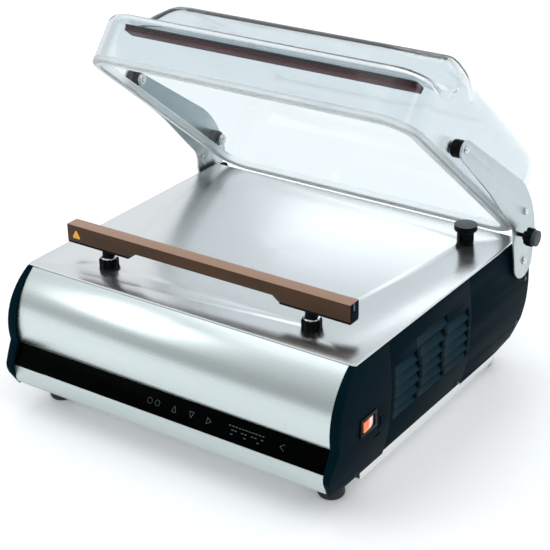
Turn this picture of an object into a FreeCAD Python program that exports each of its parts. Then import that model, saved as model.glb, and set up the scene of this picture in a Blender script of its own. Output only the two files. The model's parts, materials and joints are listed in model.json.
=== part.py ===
import FreeCAD, Part
import math
import os
from types import SimpleNamespace

import Sketcher
from FreeCAD import Placement, Rotation, Vector

# A table-top vacuum sealer with a hinged clear dome. X runs to the right, Y to the
# rear and Z up. The origin is on the table, under the middle of the whole machine.
# Every piece is drawn with X measured from the plate's middle line, and its Placement
# carries it to plate_middle. The dome stands open by lid_angle; its pieces are drawn
# closed, in a frame whose origin is the hinge pivot, and then turned about that pivot.

SIZES = {
    # plate and case
    "plate_middle": -11.5, "plate_width": 470, "plate_depth": 398, "plate_front": -206.65,
    "plate_top": 178, "plate_notch": 388, "plate_sheet": 2, "steel_sheet": 1.5,
    "joint_gap": 0.3, "cheek_width": 8,
    "nose_drop": 91, "nose_reach": 34, "nose_radius": 83, "nose_lip": 14,
    "strip_drop": 116, "strip_reach": 48, "strip_sheet": 2.5, "board_gap": 7,
    "skirt_drop": 141, "skirt_reach": 45, "skirt_radius": 60, "skirt_return": 25,
    "cheek_overlap": 4, "front_seam": 70.5, "rear_seam": 257.5,
    "side_bulge": 4.5, "side_tuck": 6.5, "side_widest": 80, "side_bottom": 150,
    "side_upper_radius": 380, "side_lower_radius": 252,
    "vent_bottom": 145, "cover_wall": 3, "cover_depth": 12, "cover_hollow": 128,
    "vent_pitch": 14, "vent_height": 9, "vent_recess": 5, "vent_slot": 2.6,
    "case_rear": 413.7, "case_rear_drop": 57, "heel_drop": 148, "heel_start": 350,
    "heel_corner": 387, "heel_corner_drop": 141, "heel_end": 406, "heel_end_drop": 120,
    "heel_radius": 150, "back_radius": 110,
    "rear_panel_at": 402, "rear_panel_drop": 10, "rear_panel_bottom": 135,
    "rear_slot": 5, "rear_slot_top": 40, "rear_slot_bottom": 94,
    "tray_drop": 160, "tray_front": -18, "tray_rear": 385, "tray_side": 228,
    "tray_flange": 22, "tray_inset": 12, "tray_side_front": 24, "tray_side_rear": 348,
    "foot_radius": 16, "foot_x": 201, "foot_front": 6, "foot_rear": 365,
    "foot_bolt": 2.7, "foot_recess": 5.5, "foot_recess_height": 6,
    # frame and hinge
    "frame_x": 212, "frame_sheet": 2, "frame_ledge": 14, "pivot_y": 179.35, "pivot_z": 150,
    "shaft_radius": 8, "shaft_thread": 20, "bush_radius": 12, "bush_flange": 22,
    "running_gap": 0.05, "arm_inner": 241.5, "arm_sheet": 3, "arm_front_y": -260,
    "arm_front_z": 50.5, "arm_rear_y": -46, "arm_rear_z": 51, "arm_nose": 12, "arm_bolt": 2.5,
    "spacer_radius": 10.5, "knob_y": -45, "knob_z": 21, "knob_radius": 11.5,
    "knob_start": 257, "knob_grip": 9, "knob_cap": 5, "knob_cap_radius": 10,
    "knob_neck": 4, "knob_flute": 3.4,
    # dome, closed, measured from the pivot
    "lid_angle": 39.3, "lid_half": 228, "lid_front": -378, "lid_rear": 4,
    "lid_rim": 30, "lid_low": 96, "lid_top": 156, "lid_wall": 8, "lid_roof": 6,
    "lip_width": 16, "lip_height": 8, "lid_corner": 42, "shoulder_width": 80,
    "shoulder_drop": 55, "gasket_width": 6, "gasket_height": 3.5, "gasket_depth": 1.6,
    "counter_y": -346, "counter_width": 20, "counter_bottom": 82, "counter_rubber": 4,
    # sealing bar
    "bar_half": 203, "bar_front": 40.6, "bar_width": 18, "bar_bottom": 21.3,
    "bar_height": 24.2, "bar_notch": 9, "bar_notch_half": 100, "bar_ramp": 8, "bar_foot": 3,
    "bar_slot": 3.4, "bar_slot_floor": 14, "tape": 0.6, "bar_post_x": 147,
    "bar_rod": 4, "post_neck": 6.2, "post_radius": 12, "post_height": 9.5,
    "post_flutes": 3, "nut_flange": 9.5, "nut_neck": 7.5, "nut_start": 10, "nut_step": 12.6,
    "cylinder_radius": 19, "cylinder_length": 74,
    # suction nozzle
    "nozzle_x": 186, "nozzle_y": 338, "nozzle_height": 26, "nozzle_cap": 14.4,
    "nozzle_stem": 10.6, "nozzle_bore": 4, "nozzle_tail": 6.5, "nozzle_port": 3,
    # mains switch and inlet
    "switch_y": 20, "switch_drop": 80, "switch_length": 34, "switch_height": 22,
    "rocker_length": 24.6, "rocker_height": 12.6, "rocker_tilt": 7, "rocker_pivot": 2.2,
    "rocker_pin": 1.1, "inlet_x": -150, "inlet_drop": 112, "inlet_width": 48,
    "inlet_height": 24, "inlet_depth": 20,
    # pump set inside the case
    "pump_x": 60, "pump_y": 65, "pump_width": 92, "pump_depth": 104, "pump_height": 88,
    "fin_pitch": 12, "fin_depth": 5, "motor_radius": 44, "motor_length": 128,
    "motor_shaft": 5, "fan_radius": 40, "fan_length": 16, "fan_hub": 11,
    "transformer_x": -120, "transformer_y": -85, "transformer_size": 74,
    "valve_width": 26, "hose_radius": 7,
}


def new_document():
    """Make the document and the sheet of driving sizes, one alias for each."""
    document = FreeCAD.newDocument("vacuum_sealer")
    sheet = document.addObject("Spreadsheet::Sheet", "Sizes")
    for row, (name, value) in enumerate(SIZES.items(), start=1):
        sheet.set("A%d" % row, name)
        sheet.set("B%d" % row, str(value))
        sheet.setAlias("B%d" % row, name)
    document.recompute()
    return document


class Size:
    """A number that remembers the spreadsheet expression it comes from."""

    def __init__(self, text, value):
        self.text = text
        self.value = value

    def join(self, sign, other, value):
        return Size("(%s %s %s)" % (self.text, sign, text(other)), value)

    def __add__(self, other):
        return self.join("+", other, self.value + number(other))

    def __sub__(self, other):
        return self.join("-", other, self.value - number(other))

    def __mul__(self, other):
        return self.join("*", other, self.value * number(other))

    def __truediv__(self, other):
        return self.join("/", other, self.value / number(other))

    def __radd__(self, other):
        return self + other

    def __rmul__(self, other):
        return self * other

    def __rsub__(self, other):
        return -self + other

    def __neg__(self):
        return Size("(0 - %s)" % self.text, -self.value)


def number(size):
    return size.value if isinstance(size, Size) else float(size)


def text(size):
    return size.text if isinstance(size, Size) else "%.6g" % size


doc = new_document()
s = SimpleNamespace(**{name: Size("Sizes." + name, float(value)) for name, value in SIZES.items()})
half = s.plate_width / 2
nodes = {}

# The cover screws: their distance behind the plate's front edge, their depth below its
# top, and the X of the seat under each head.
COVER_HEAD = 3.6
COVER_SHANK = 1.6
VENT_SCREW = (244, 140, half - 4.6)
REAR_SCREWS = ((404, 62, half + 3.6), (393, 121, half - 0.6))


def plate_y(distance):
    """A Y position given as a distance behind the plate's front edge."""
    return s.plate_front + distance


def below_plate(distance):
    """A height given as a distance below the plate's top face."""
    return s.plate_top - distance


def bind(target, path, size):
    """Give a property its value and tie it to the sheet."""
    setattr(target, path, number(size))
    target.setExpression(path, text(size))


# Each axis has its sketch plane and the sign of that plane's normal along the axis.
PLANES = {"X": ("YZ_Plane", 1), "Y": ("XZ_Plane", -1), "Z": ("XY_Plane", 1)}


def new_body(name, keep=True):
    """Start a body; keep=False makes a tool that isn't a piece of its own."""
    body = doc.addObject("PartDesign::Body", name)
    body.Label = name
    if keep:
        nodes[name] = body
        place(body, 0, 0, 0)
    return body


def new_sketch(body, axis, offset):
    role, sign = PLANES[axis]
    sketch = body.newObject("Sketcher::SketchObject", body.Name + "_sketch")
    plane = next(item for item in body.Origin.OriginFeatures if item.Role == role)
    sketch.AttachmentSupport = [(plane, "")]
    sketch.MapMode = "FlatFace"
    shift = offset * sign if isinstance(offset, Size) else Size(text(offset), number(offset)) * sign
    sketch.AttachmentOffset = Placement(Vector(0, 0, shift.value), Rotation())
    sketch.setExpression("AttachmentOffset.Base.z", shift.text)
    return sketch


def fix_distance(sketch, kind, geometry, point, size):
    index = sketch.addConstraint(Sketcher.Constraint(kind, -1, 1, geometry, point, number(size)))
    sketch.setExpression("Constraints[%d]" % index, text(size))


def fix_point(sketch, geometry, point, u, v):
    fix_distance(sketch, "DistanceX", geometry, point, u)
    fix_distance(sketch, "DistanceY", geometry, point, v)


def fix_radius(sketch, geometry, radius):
    index = sketch.addConstraint(Sketcher.Constraint("Radius", geometry, number(radius)))
    sketch.setExpression("Constraints[%d]" % index, text(radius))


def arc_between(start, end, radius, turns_left):
    """The minor arc from start to end; returns it with the numbers of its two ends."""
    chord = end - start
    length = chord.Length
    rise = math.sqrt(max(radius * radius - length * length / 4, 0.0))
    side = Vector(-chord.y, chord.x, 0) / length
    centre = (start + end) / 2 + side * (rise if turns_left else -rise)
    first, last = (start, end) if turns_left else (end, start)
    angles = [math.atan2(point.y - centre.y, point.x - centre.x) for point in (first, last)]
    circle = Part.Circle(centre, Vector(0, 0, 1), radius)
    ends = (1, 2) if turns_left else (2, 1)
    return Part.ArcOfCircle(circle, angles[0], angles[1]), ends


def draw_outline(sketch, outline):
    """Draw a closed outline of (u, v) or (u, v, radius) points.

    A radius bends the stretch to the next point: positive turns left, negative right.
    """
    corners = [Vector(number(point[0]), number(point[1]), 0) for point in outline]
    pieces = []
    for index, point in enumerate(outline):
        start, end = corners[index], corners[(index + 1) % len(corners)]
        if len(point) == 3:
            curve, ends = arc_between(start, end, abs(number(point[2])), number(point[2]) > 0)
        else:
            curve, ends = Part.LineSegment(start, end), (1, 2)
        pieces.append((sketch.addGeometry(curve, False), ends))
    for index, point in enumerate(outline):
        geometry, ends = pieces[index]
        before, before_ends = pieces[index - 1]
        link = Sketcher.Constraint("Coincident", before, before_ends[1], geometry, ends[0])
        sketch.addConstraint(link)
        fix_point(sketch, geometry, ends[0], point[0], point[1])
        if len(point) == 3:
            radius = point[2] if number(point[2]) > 0 else -point[2]
            fix_radius(sketch, geometry, radius)


def draw_circle(sketch, u, v, radius):
    centre = Vector(number(u), number(v), 0)
    circle = sketch.addGeometry(Part.Circle(centre, Vector(0, 0, 1), number(radius)), False)
    fix_point(sketch, circle, 3, u, v)
    fix_radius(sketch, circle, radius)


def draw(sketch, shapes):
    """Draw each shape: a tuple of three sizes is a circle, a list is an outline."""
    for shape in shapes:
        if isinstance(shape, tuple):
            draw_circle(sketch, *shape)
        else:
            draw_outline(sketch, shape)


def box_outline(left, low, right, high):
    return [(left, low), (right, low), (right, high), (left, high)]


def round_outline(left, low, right, high, radius):
    """A rectangle with rounded corners, drawn anticlockwise."""
    return [(left + radius, low), (right - radius, low, radius),
            (right, low + radius), (right, high - radius, radius),
            (right - radius, high), (left + radius, high, radius),
            (left, high - radius), (left, low + radius, radius)]


def add(body, axis, start, length, *shapes):
    """Add material along an axis, from start over length."""
    sketch = new_sketch(body, axis, start + length if axis == "Y" else start)
    draw(sketch, shapes)
    pad = body.newObject("PartDesign::Pad", body.Name + "_pad")
    pad.Profile = sketch
    bind(pad, "Length", length)
    return pad


def cut(body, axis, start, length, *shapes):
    """Remove material along an axis, from start over length."""
    sketch = new_sketch(body, axis, start if axis == "Y" else start + length)
    draw(sketch, shapes)
    pocket = body.newObject("PartDesign::Pocket", body.Name + "_pocket")
    pocket.Profile = sketch
    bind(pocket, "Length", length)
    return pocket


def turn(body, outline):
    """Revolve an outline of (radius, height) points about the body's own Z axis."""
    sketch = new_sketch(body, "Y", 0)
    draw(sketch, [outline])
    revolution = body.newObject("PartDesign::Revolution", body.Name + "_turn")
    revolution.Profile = sketch
    revolution.ReferenceAxis = (sketch, ["V_Axis"])
    revolution.Angle = 360
    return revolution


def move_to(item, x, y, z):
    """Keep an item at a point that follows the sheet."""
    for name, size in (("x", x), ("y", y), ("z", z)):
        item.setExpression("Placement.Base." + name, text(size))


def place(item, x, y, z):
    """Put an item at a point whose X is measured from the plate's middle line."""
    x = s.plate_middle + x
    item.Placement = Placement(Vector(number(x), number(y), number(z)), Rotation())
    move_to(item, x, y, z)


def open_out(item, y, z):
    """Put an item at a point of the hinged group, and turn it open with the dome."""
    point = Vector(s.plate_middle.value, number(y), number(z))
    item.Placement = Placement(point, Rotation(Vector(-1, 0, 0), s.lid_angle.value))
    move_to(item, s.plate_middle, y, z)
    item.setExpression("Placement.Rotation.Angle", s.lid_angle.text)


def hang_on_hinge(item):
    """Turn a piece of the dome open about the hinge pivot."""
    open_out(item, s.pivot_y, s.pivot_z)


def mirror(name, source):
    """The left-hand twin of a right-hand piece."""
    twin = doc.addObject("Part::Mirroring", name)
    twin.Label = name
    twin.Source = source
    twin.Base = Vector(s.plate_middle.value, 0, 0)
    twin.setExpression("Base.x", s.plate_middle.text)
    twin.Normal = Vector(1, 0, 0)
    nodes[name] = twin
    return twin


def group(name, shapes):
    """Identical small pieces that share a node, as separate solids."""
    item = doc.addObject("Part::Feature", name)
    item.Label = name
    item.Shape = Part.makeCompound(shapes)
    nodes[name] = item
    place(item, 0, 0, 0)
    return item


def turned_solid(profile, origin, direction):
    """A solid of revolution from (radius, distance) points, along a direction."""
    points = [Vector(radius, 0, distance) for radius, distance in profile]
    wire = Part.makePolygon(points + points[:1])
    solid = Part.Face(wire).revolve(Vector(0, 0, 0), Vector(0, 0, 1), 360)
    solid.Placement = Placement(origin, Rotation(Vector(0, 0, 1), direction))
    return solid


def screw(head_radius, head_height, shank_radius, shank_length, origin, direction):
    """A domed screw whose head rests on origin and whose shank runs against direction."""
    profile = [(0, -shank_length), (shank_radius, -shank_length), (shank_radius, 0),
               (head_radius, 0), (head_radius, head_height * 0.45),
               (head_radius * 0.7, head_height), (0, head_height)]
    return turned_solid(profile, origin, direction)


# ---------------------------------------------------------------- case and plate

def make_top_plate():
    """The flat steel work plate, with holes for the nozzle and the bar's posts.

    Its rear edge is notched so that the dome's rim can dip behind it.
    """
    body = new_body("top_plate")
    sheet = round_outline(-half, s.plate_front, half, plate_y(s.plate_depth), s.plate_sheet * 2)
    add(body, "Z", below_plate(s.plate_sheet), s.plate_sheet, sheet)
    post_y = plate_y(s.bar_front + s.bar_width / 2)
    cut(body, "Z", below_plate(s.plate_sheet), s.plate_sheet,
        (s.nozzle_x, plate_y(s.nozzle_y), s.hose_radius),
        (s.bar_post_x, post_y, s.post_neck + s.joint_gap),
        (-s.bar_post_x, post_y, s.post_neck + s.joint_gap))
    notch_side = s.lid_half + s.cover_wall
    cut(body, "Z", below_plate(s.plate_sheet), s.plate_sheet,
        box_outline(-notch_side, plate_y(s.plate_notch), notch_side, plate_y(s.plate_depth + 1)))
    rear_lip = box_outline(-half + s.cheek_width, plate_y(s.plate_notch - s.plate_sheet),
                           half - s.cheek_width, plate_y(s.plate_notch))
    add(body, "Z", below_plate(s.nose_lip), s.nose_lip - s.plate_sheet, rear_lip)


def front_band(name, outline):
    """A bent steel band across the front, between the two cheeks."""
    body = new_body(name)
    width = (half - s.cheek_width - s.joint_gap) * 2
    add(body, "X", -width / 2, width, outline)
    return body


def make_nose_panel():
    """The bulged brushed-steel panel under the plate's front edge."""
    rise = s.plate_sheet + s.joint_gap
    thick = s.steel_sheet
    front_band("front_panel", [
        (s.plate_front, below_plate(rise), s.nose_radius),
        (plate_y(-s.nose_reach), below_plate(s.nose_drop)),
        (plate_y(-s.nose_reach + thick), below_plate(s.nose_drop), -(s.nose_radius - thick)),
        (plate_y(thick), below_plate(rise + thick)),
        (plate_y(s.nose_lip), below_plate(rise + thick)),
        (plate_y(s.nose_lip), below_plate(rise)),
    ])


def make_control_panel():
    """The sloping black touch panel below the bulge."""
    inward = s.strip_sheet * 0.87
    down = s.strip_sheet * 0.49
    top = s.nose_drop + s.joint_gap
    front_band("control_panel", [
        (plate_y(-s.nose_reach), below_plate(top)),
        (plate_y(-s.strip_reach), below_plate(s.strip_drop)),
        (plate_y(-s.strip_reach + inward), below_plate(s.strip_drop + down)),
        (plate_y(-s.nose_reach + inward), below_plate(top + down)),
    ])


def make_control_board():
    """The circuit board behind the touch panel, parallel to it."""
    body = new_body("control_board")
    side = half * 0.6
    board = s.steel_sheet
    gap = s.board_gap
    add(body, "X", -side, side * 2, [
        (plate_y(-s.nose_reach + gap), below_plate(s.nose_drop + gap)),
        (plate_y(-s.strip_reach + gap), below_plate(s.strip_drop + gap - 4)),
        (plate_y(-s.strip_reach + gap + board), below_plate(s.strip_drop + gap - 3)),
        (plate_y(-s.nose_reach + gap + board), below_plate(s.nose_drop + gap + 1)),
    ])


def make_front_skirt():
    """The lower steel band, turned in underneath."""
    thick = s.steel_sheet
    top = s.strip_drop + s.joint_gap
    front_band("front_skirt", [
        (plate_y(-s.strip_reach), below_plate(top), s.skirt_radius),
        (plate_y(-s.skirt_reach), below_plate(s.skirt_drop)),
        (plate_y(-s.skirt_reach + s.skirt_return), below_plate(s.skirt_drop)),
        (plate_y(-s.skirt_reach + s.skirt_return), below_plate(s.skirt_drop - thick)),
        (plate_y(-s.skirt_reach + thick), below_plate(s.skirt_drop - thick), -(s.skirt_radius - thick)),
        (plate_y(-s.strip_reach + thick), below_plate(top + thick)),
    ])


def side_curve_cutter(body, start, length):
    """Shape a side cover's outer face to its shallow barrel curve."""
    edge = half + s.cheek_width
    widest = half + s.side_bulge
    cut(body, "Y", start, length, [
        (half, below_plate(-1)),
        (half, below_plate(s.plate_sheet), -s.side_upper_radius),
        (widest, below_plate(s.side_widest), -s.side_lower_radius),
        (half - s.side_tuck, below_plate(s.side_bottom + 1)),
        (edge, below_plate(s.side_bottom + 1)),
        (edge, below_plate(-1)),
    ])


def nose_outline(out):
    """The side view of the front, pushed forward by out beyond the steel bands."""
    rise = s.plate_sheet + s.joint_gap
    return [
        (plate_y(s.front_seam - s.joint_gap), below_plate(rise)),
        (plate_y(-out * 0.3), below_plate(rise), s.nose_radius + 2),
        (plate_y(-s.nose_reach - out), below_plate(s.nose_drop - 2)),
        (plate_y(-s.strip_reach - out), below_plate(s.strip_drop - 1), s.skirt_radius / 3),
        (plate_y(-s.strip_reach - out * 0.7), below_plate(s.strip_drop + 12)),
        (plate_y(-s.skirt_reach + out), below_plate(s.skirt_drop + 5)),
        (plate_y(-8), below_plate(s.side_bottom)),
        (plate_y(s.front_seam - s.joint_gap), below_plate(s.side_bottom)),
    ]


def front_cheek(name, keep):
    """A moulded end of the front, hollow behind its front and outer walls."""
    inner = half - s.cheek_width
    body = new_body(name, keep)
    place(body, 0, 0, 0)
    add(body, "X", inner, s.cover_depth + 1, nose_outline(s.cheek_overlap))
    side_curve_cutter(body, plate_y(-90), s.front_seam + 100)
    roof = s.cover_wall * 2
    cut(body, "X", inner, s.cheek_width - s.cover_wall, [
        (plate_y(s.front_seam), below_plate(roof)),
        (plate_y(4), below_plate(roof)),
        (plate_y(-26), below_plate(40)),
        (plate_y(-31), below_plate(s.nose_drop)),
        (plate_y(-41), below_plate(s.strip_drop)),
        (plate_y(-40), below_plate(s.cover_hollow)),
        (plate_y(s.front_seam), below_plate(s.cover_hollow)),
    ])
    return body


def make_front_cheeks():
    """The black ends of the front; the right one carries the mains switch."""
    right = front_cheek("front_cheek_right", True)
    inner = half - s.cheek_width
    cut(right, "X", inner, s.cover_depth + 2,
        switch_outline(0.2, s.switch_length, s.switch_height))
    finger_dimple(right)
    mirror("front_cheek_left", front_cheek("front_cheek_blank", False))


def finger_dimple(body):
    """The shallow half-moon behind the switch, and the short slot below it."""
    face = half + s.side_bulge
    edge = plate_y(42.5)
    middle = below_plate(91)
    reach = 9
    bulge = 6.5
    radius = (reach ** 2 + bulge ** 2) / (2 * bulge)
    cut(body, "X", face - 1.6, s.cover_depth, [
        (edge, middle - reach, radius), (edge + bulge, middle, radius), (edge, middle + reach),
    ])
    slot = below_plate(107)
    cut(body, "X", face - 2.8, s.cover_depth,
        box_outline(plate_y(36), slot - 1.4, plate_y(49), slot + 1.4))


def screw_seat(body, y, drop, seat):
    """A hole for a cover screw, with a flat seat for its head at a distance in X."""
    inner = half - s.cheek_width - 1
    cut(body, "X", inner, seat - inner + 1, (plate_y(y), below_plate(drop), COVER_SHANK + 0.2))
    cut(body, "X", seat, s.cover_depth, (plate_y(y), below_plate(drop), COVER_HEAD + 0.5))


def switch_outline(gap, length, height):
    """The mains switch's rectangle in the side view."""
    y = plate_y(s.switch_y)
    z = below_plate(s.switch_drop)
    return box_outline(y - length / 2 - gap, z - height / 2 - gap,
                       y + length / 2 + gap, z + height / 2 + gap)


def column_half(drop):
    """Half the length of a middle-column vent at a depth below the plate."""
    middle_drop = 66
    reach = 42
    return 21.5 + 14 * ((drop - middle_drop) / reach) ** 2


def vent_rows():
    """Every vent as its near end, far end and depth below the plate."""
    middle = 163
    rib = 8
    rows = []
    for row in range(6):
        drop = 24 + row * SIZES["vent_pitch"]
        reach = column_half(drop)
        rows.append((middle - reach, middle + reach, drop))
    for row in range(5):
        drop = 38 + row * SIZES["vent_pitch"]
        reach = column_half(drop)
        rows.append((79, middle - reach - rib, drop))
        rows.append((middle + reach + rib, 250, drop))
    return rows


def make_vent_panels():
    """The louvred middle covers: sloping recesses with a slot at the top of each."""
    body = new_body("vent_panel_right")
    start = plate_y(s.front_seam + s.joint_gap)
    length = s.rear_seam - s.front_seam - s.joint_gap * 2
    rise = s.plate_sheet + s.joint_gap
    inner = half - s.cheek_width
    outline = box_outline(start, below_plate(s.vent_bottom), start + length, below_plate(rise))
    add(body, "X", inner, s.cover_depth + 1, outline)
    side_curve_cutter(body, start - 1, length + 2)
    wall = s.cover_wall
    hollow = box_outline(start + wall, below_plate(s.cover_hollow),
                         start + length - wall, below_plate(rise + wall))
    cut(body, "X", inner, s.cheek_width - wall, hollow)
    add_vents(body)
    screw_seat(body, *VENT_SCREW)
    mirror("vent_panel_left", body)


def add_vents(body):
    """Recesses whose floors slope in as they rise, and a slot at the top of each."""
    outer = half + s.cheek_width
    floor = half - s.vent_recess + 3
    slots = []
    for near, far, drop in vent_rows():
        top = below_plate(drop)
        length = far - near
        cut(body, "Y", plate_y(near), length, [
            (floor, top - s.vent_slot),
            (outer, top - s.vent_height * 2),
            (outer, top),
            (floor, top),
        ])
        slots.append(box_outline(plate_y(near + 1.5), top - s.vent_slot + 0.2,
                                 plate_y(far - 1.5), top - 0.2))
    cut(body, "X", half - s.cheek_width - 1, s.cheek_width + 6, *slots)


def rear_outline():
    """The side view of the rear cheek: a gently bulged back and a cut-away heel."""
    rise = s.plate_sheet + s.joint_gap
    start = plate_y(s.rear_seam + s.joint_gap)
    return [
        (start, below_plate(rise)),
        (start, below_plate(s.heel_drop)),
        (plate_y(s.heel_start), below_plate(s.heel_drop)),
        (plate_y(s.heel_corner), below_plate(s.heel_corner_drop)),
        (plate_y(s.heel_end), below_plate(s.heel_end_drop), s.heel_radius),
        (plate_y(s.case_rear), below_plate(s.case_rear_drop), s.back_radius),
        (plate_y(s.rear_panel_at), below_plate(rise)),
    ]


def make_rear_cheeks():
    """The black rear covers, pierced for the hinge bushes."""
    body = new_body("rear_cheek_right")
    inner = half - s.cheek_width
    add(body, "X", inner, s.cover_depth + 1, rear_outline())
    side_curve_cutter(body, plate_y(s.rear_seam - 10), s.case_rear - s.rear_seam + 20)
    wall = s.cover_wall
    hollow = [
        (plate_y(s.rear_seam) + wall, below_plate(wall * 2)),
        (plate_y(s.rear_seam) + wall, below_plate(s.cover_hollow)),
        (plate_y(s.heel_corner), below_plate(s.cover_hollow)),
        (plate_y(s.heel_corner + 10), below_plate(90)),
        (plate_y(s.heel_corner + 10), below_plate(wall * 2)),
    ]
    cut(body, "X", inner, s.cheek_width - wall, hollow)
    depth = s.cheek_width + 10
    cut(body, "X", inner, depth, (s.pivot_y, s.pivot_z, s.bush_radius + s.joint_gap))
    cut(body, "X", half + wall, s.cheek_width, (s.pivot_y, s.pivot_z, s.bush_flange + s.joint_gap))
    for place_and_seat in REAR_SCREWS:
        screw_seat(body, *place_and_seat)
    mirror("rear_cheek_left", body)


def make_rear_panel():
    """The steel back, flanged forward at both edges, with slots and the inlet's cut-out."""
    body = new_body("rear_panel")
    width = half - s.cheek_width - s.joint_gap
    y = plate_y(s.rear_panel_at)
    top = below_plate(s.rear_panel_drop)
    bottom = below_plate(s.rear_panel_bottom)
    add(body, "Y", y, s.steel_sheet, box_outline(-width, bottom, width, top))
    add(body, "Z", top - s.steel_sheet, s.steel_sheet,
        box_outline(-width, plate_y(s.plate_notch) + s.joint_gap, width, y))
    add(body, "Z", bottom, s.steel_sheet,
        box_outline(-width, plate_y(s.tray_rear - 3), width, y))
    slots = [box_outline(x, below_plate(s.rear_slot_bottom), x + s.rear_slot,
                         below_plate(s.rear_slot_top))
             for x in range(-60, 180, 12)]
    cut(body, "Y", y, s.steel_sheet, *slots)
    cut(body, "Y", y, s.steel_sheet, inlet_outline(s.inlet_width - 14, s.inlet_height - 2))


def inlet_outline(width, height):
    z = below_plate(s.inlet_drop)
    return box_outline(s.inlet_x - width / 2, z - height / 2, s.inlet_x + width / 2, z + height / 2)


def make_power_inlet():
    """The mains inlet: a flange outside, a shell inside and three contact blades."""
    body = new_body("power_inlet")
    y = plate_y(s.rear_panel_at)
    deep = s.inlet_depth
    wall = 4
    add(body, "Y", y + s.steel_sheet, s.plate_sheet,
        inlet_outline(s.inlet_width, s.inlet_height + 4))
    add(body, "Y", y - deep, deep + s.steel_sheet,
        inlet_outline(s.inlet_width - 15, s.inlet_height - 3))
    cut(body, "Y", y - deep + wall, deep - wall + s.steel_sheet + s.plate_sheet,
        inlet_outline(s.inlet_width - 22, s.inlet_height - 9))
    blade_half = Vector(1, 0, 2)
    fit = 0.05
    z = below_plate(s.inlet_drop)
    slits = []
    blades = []
    for x, rise in ((-7, -2), (0, 2), (7, -2)):
        middle = s.inlet_x + x
        slits.append(box_outline(middle - blade_half.x - fit, z + rise - blade_half.z - fit,
                                 middle + blade_half.x + fit, z + rise + blade_half.z + fit))
        corner = Vector(middle.value, (y - deep - 2).value, z.value + rise) - blade_half
        blades.append(Part.makeBox(blade_half.x * 2, (deep - 2).value, blade_half.z * 2, corner))
    cut(body, "Y", y - deep, wall, *slits)
    group("inlet_blades", blades)


def make_base_tray():
    """The steel base: a floor, with side flanges that show below the covers."""
    body = new_body("base_tray")
    low = below_plate(s.tray_drop)
    thick = s.steel_sheet
    inset = s.tray_side - s.tray_inset
    add(body, "Z", low, thick,
        box_outline(-inset, plate_y(s.tray_front), inset, plate_y(s.tray_rear)))
    flange_front = plate_y(s.tray_side_front)
    flange_rear = plate_y(s.tray_side_rear)
    add(body, "Z", low, thick, box_outline(-s.tray_side, flange_front, s.tray_side, flange_rear))
    gap = s.joint_gap
    for near, far in ((-s.tray_side, thick - s.tray_side), (s.tray_side - thick, s.tray_side)):
        add(body, "Z", low, s.tray_drop - s.side_bottom - gap,
            box_outline(near, flange_front, far, flange_rear))
        add(body, "Z", low, s.tray_drop - s.vent_bottom - gap,
            box_outline(near, plate_y(s.front_seam + gap), far, plate_y(s.rear_seam - gap)))
    front = plate_y(s.tray_front)
    add(body, "Z", low, s.tray_flange, box_outline(-inset, front, inset, front + thick))
    rear = plate_y(s.tray_rear)
    add(body, "Z", low, s.tray_flange, box_outline(-inset, rear - thick, inset, rear))
    cut(body, "Z", low, thick, *[(x, plate_y(y), s.foot_bolt) for x in (s.foot_x, -s.foot_x)
                                 for y in (s.foot_front, s.foot_rear)])


def make_feet():
    """Four rubber feet under the corners and the screws that hold them."""
    height = s.plate_top - s.tray_drop - 0.05
    screws = []
    for end, y in (("front", s.foot_front), ("rear", s.foot_rear)):
        for side, x in (("left", -s.foot_x), ("right", s.foot_x)):
            body = new_body("foot_%s_%s" % (end, side))
            bore = s.foot_bolt + 0.1
            turn(body, [
                (bore, s.foot_recess_height), (s.foot_recess, s.foot_recess_height),
                (s.foot_recess, 0), (s.foot_radius - 2, 0), (s.foot_radius, 3),
                (s.foot_radius - 2, height), (bore, height),
            ])
            place(body, x, plate_y(y), 0)
            origin = Vector(x.value, plate_y(y).value, s.foot_recess_height.value - 0.1)
            screws.append(screw(4.6, 3, 2.5, 22, origin, Vector(0, 0, -1)))
    group("foot_screws", screws)


def make_frame():
    """Two folded side frames, and the cross member that carries the plate."""
    right = new_body("frame_side_right")
    low = s.tray_drop - s.steel_sheet - s.joint_gap
    rise = s.plate_sheet + s.joint_gap
    front = plate_y(s.nose_lip + s.joint_gap)
    rear = plate_y(s.plate_notch - s.plate_sheet - s.joint_gap)
    add(right, "X", s.frame_x - s.frame_sheet, s.frame_sheet, [
        (front, below_plate(rise)), (front, below_plate(low)),
        (plate_y(372), below_plate(low)), (rear, below_plate(s.nose_drop)),
        (rear, below_plate(rise)),
    ])
    windows = [box_outline(plate_y(y), below_plate(118), plate_y(y + 74), below_plate(26))
               for y in (40, 130, 220)]
    cut(right, "X", s.frame_x - s.frame_sheet, s.frame_sheet,
        (s.pivot_y, s.pivot_z, s.bush_radius + s.joint_gap), *windows)
    ledge = s.frame_x - s.frame_sheet - s.frame_ledge
    add(right, "Z", below_plate(rise + s.steel_sheet), s.steel_sheet,
        box_outline(ledge, plate_y(70), s.frame_x, plate_y(320)))
    add(right, "Z", below_plate(low), s.steel_sheet,
        box_outline(ledge, plate_y(40), s.frame_x, plate_y(340)))
    mirror("frame_side_left", right)
    cross = new_body("frame_cross")
    reach = s.frame_x - s.frame_sheet - s.joint_gap
    top = rise + s.steel_sheet + s.joint_gap
    add(cross, "X", -reach, reach * 2, [
        (plate_y(196), below_plate(top)), (plate_y(196), below_plate(top + 18)),
        (plate_y(198), below_plate(top + 18)), (plate_y(198), below_plate(top + 2)),
        (plate_y(222), below_plate(top + 2)), (plate_y(222), below_plate(top + 18)),
        (plate_y(224), below_plate(top + 18)), (plate_y(224), below_plate(top)),
    ])


# ---------------------------------------------------------------- hinge and arms

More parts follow.
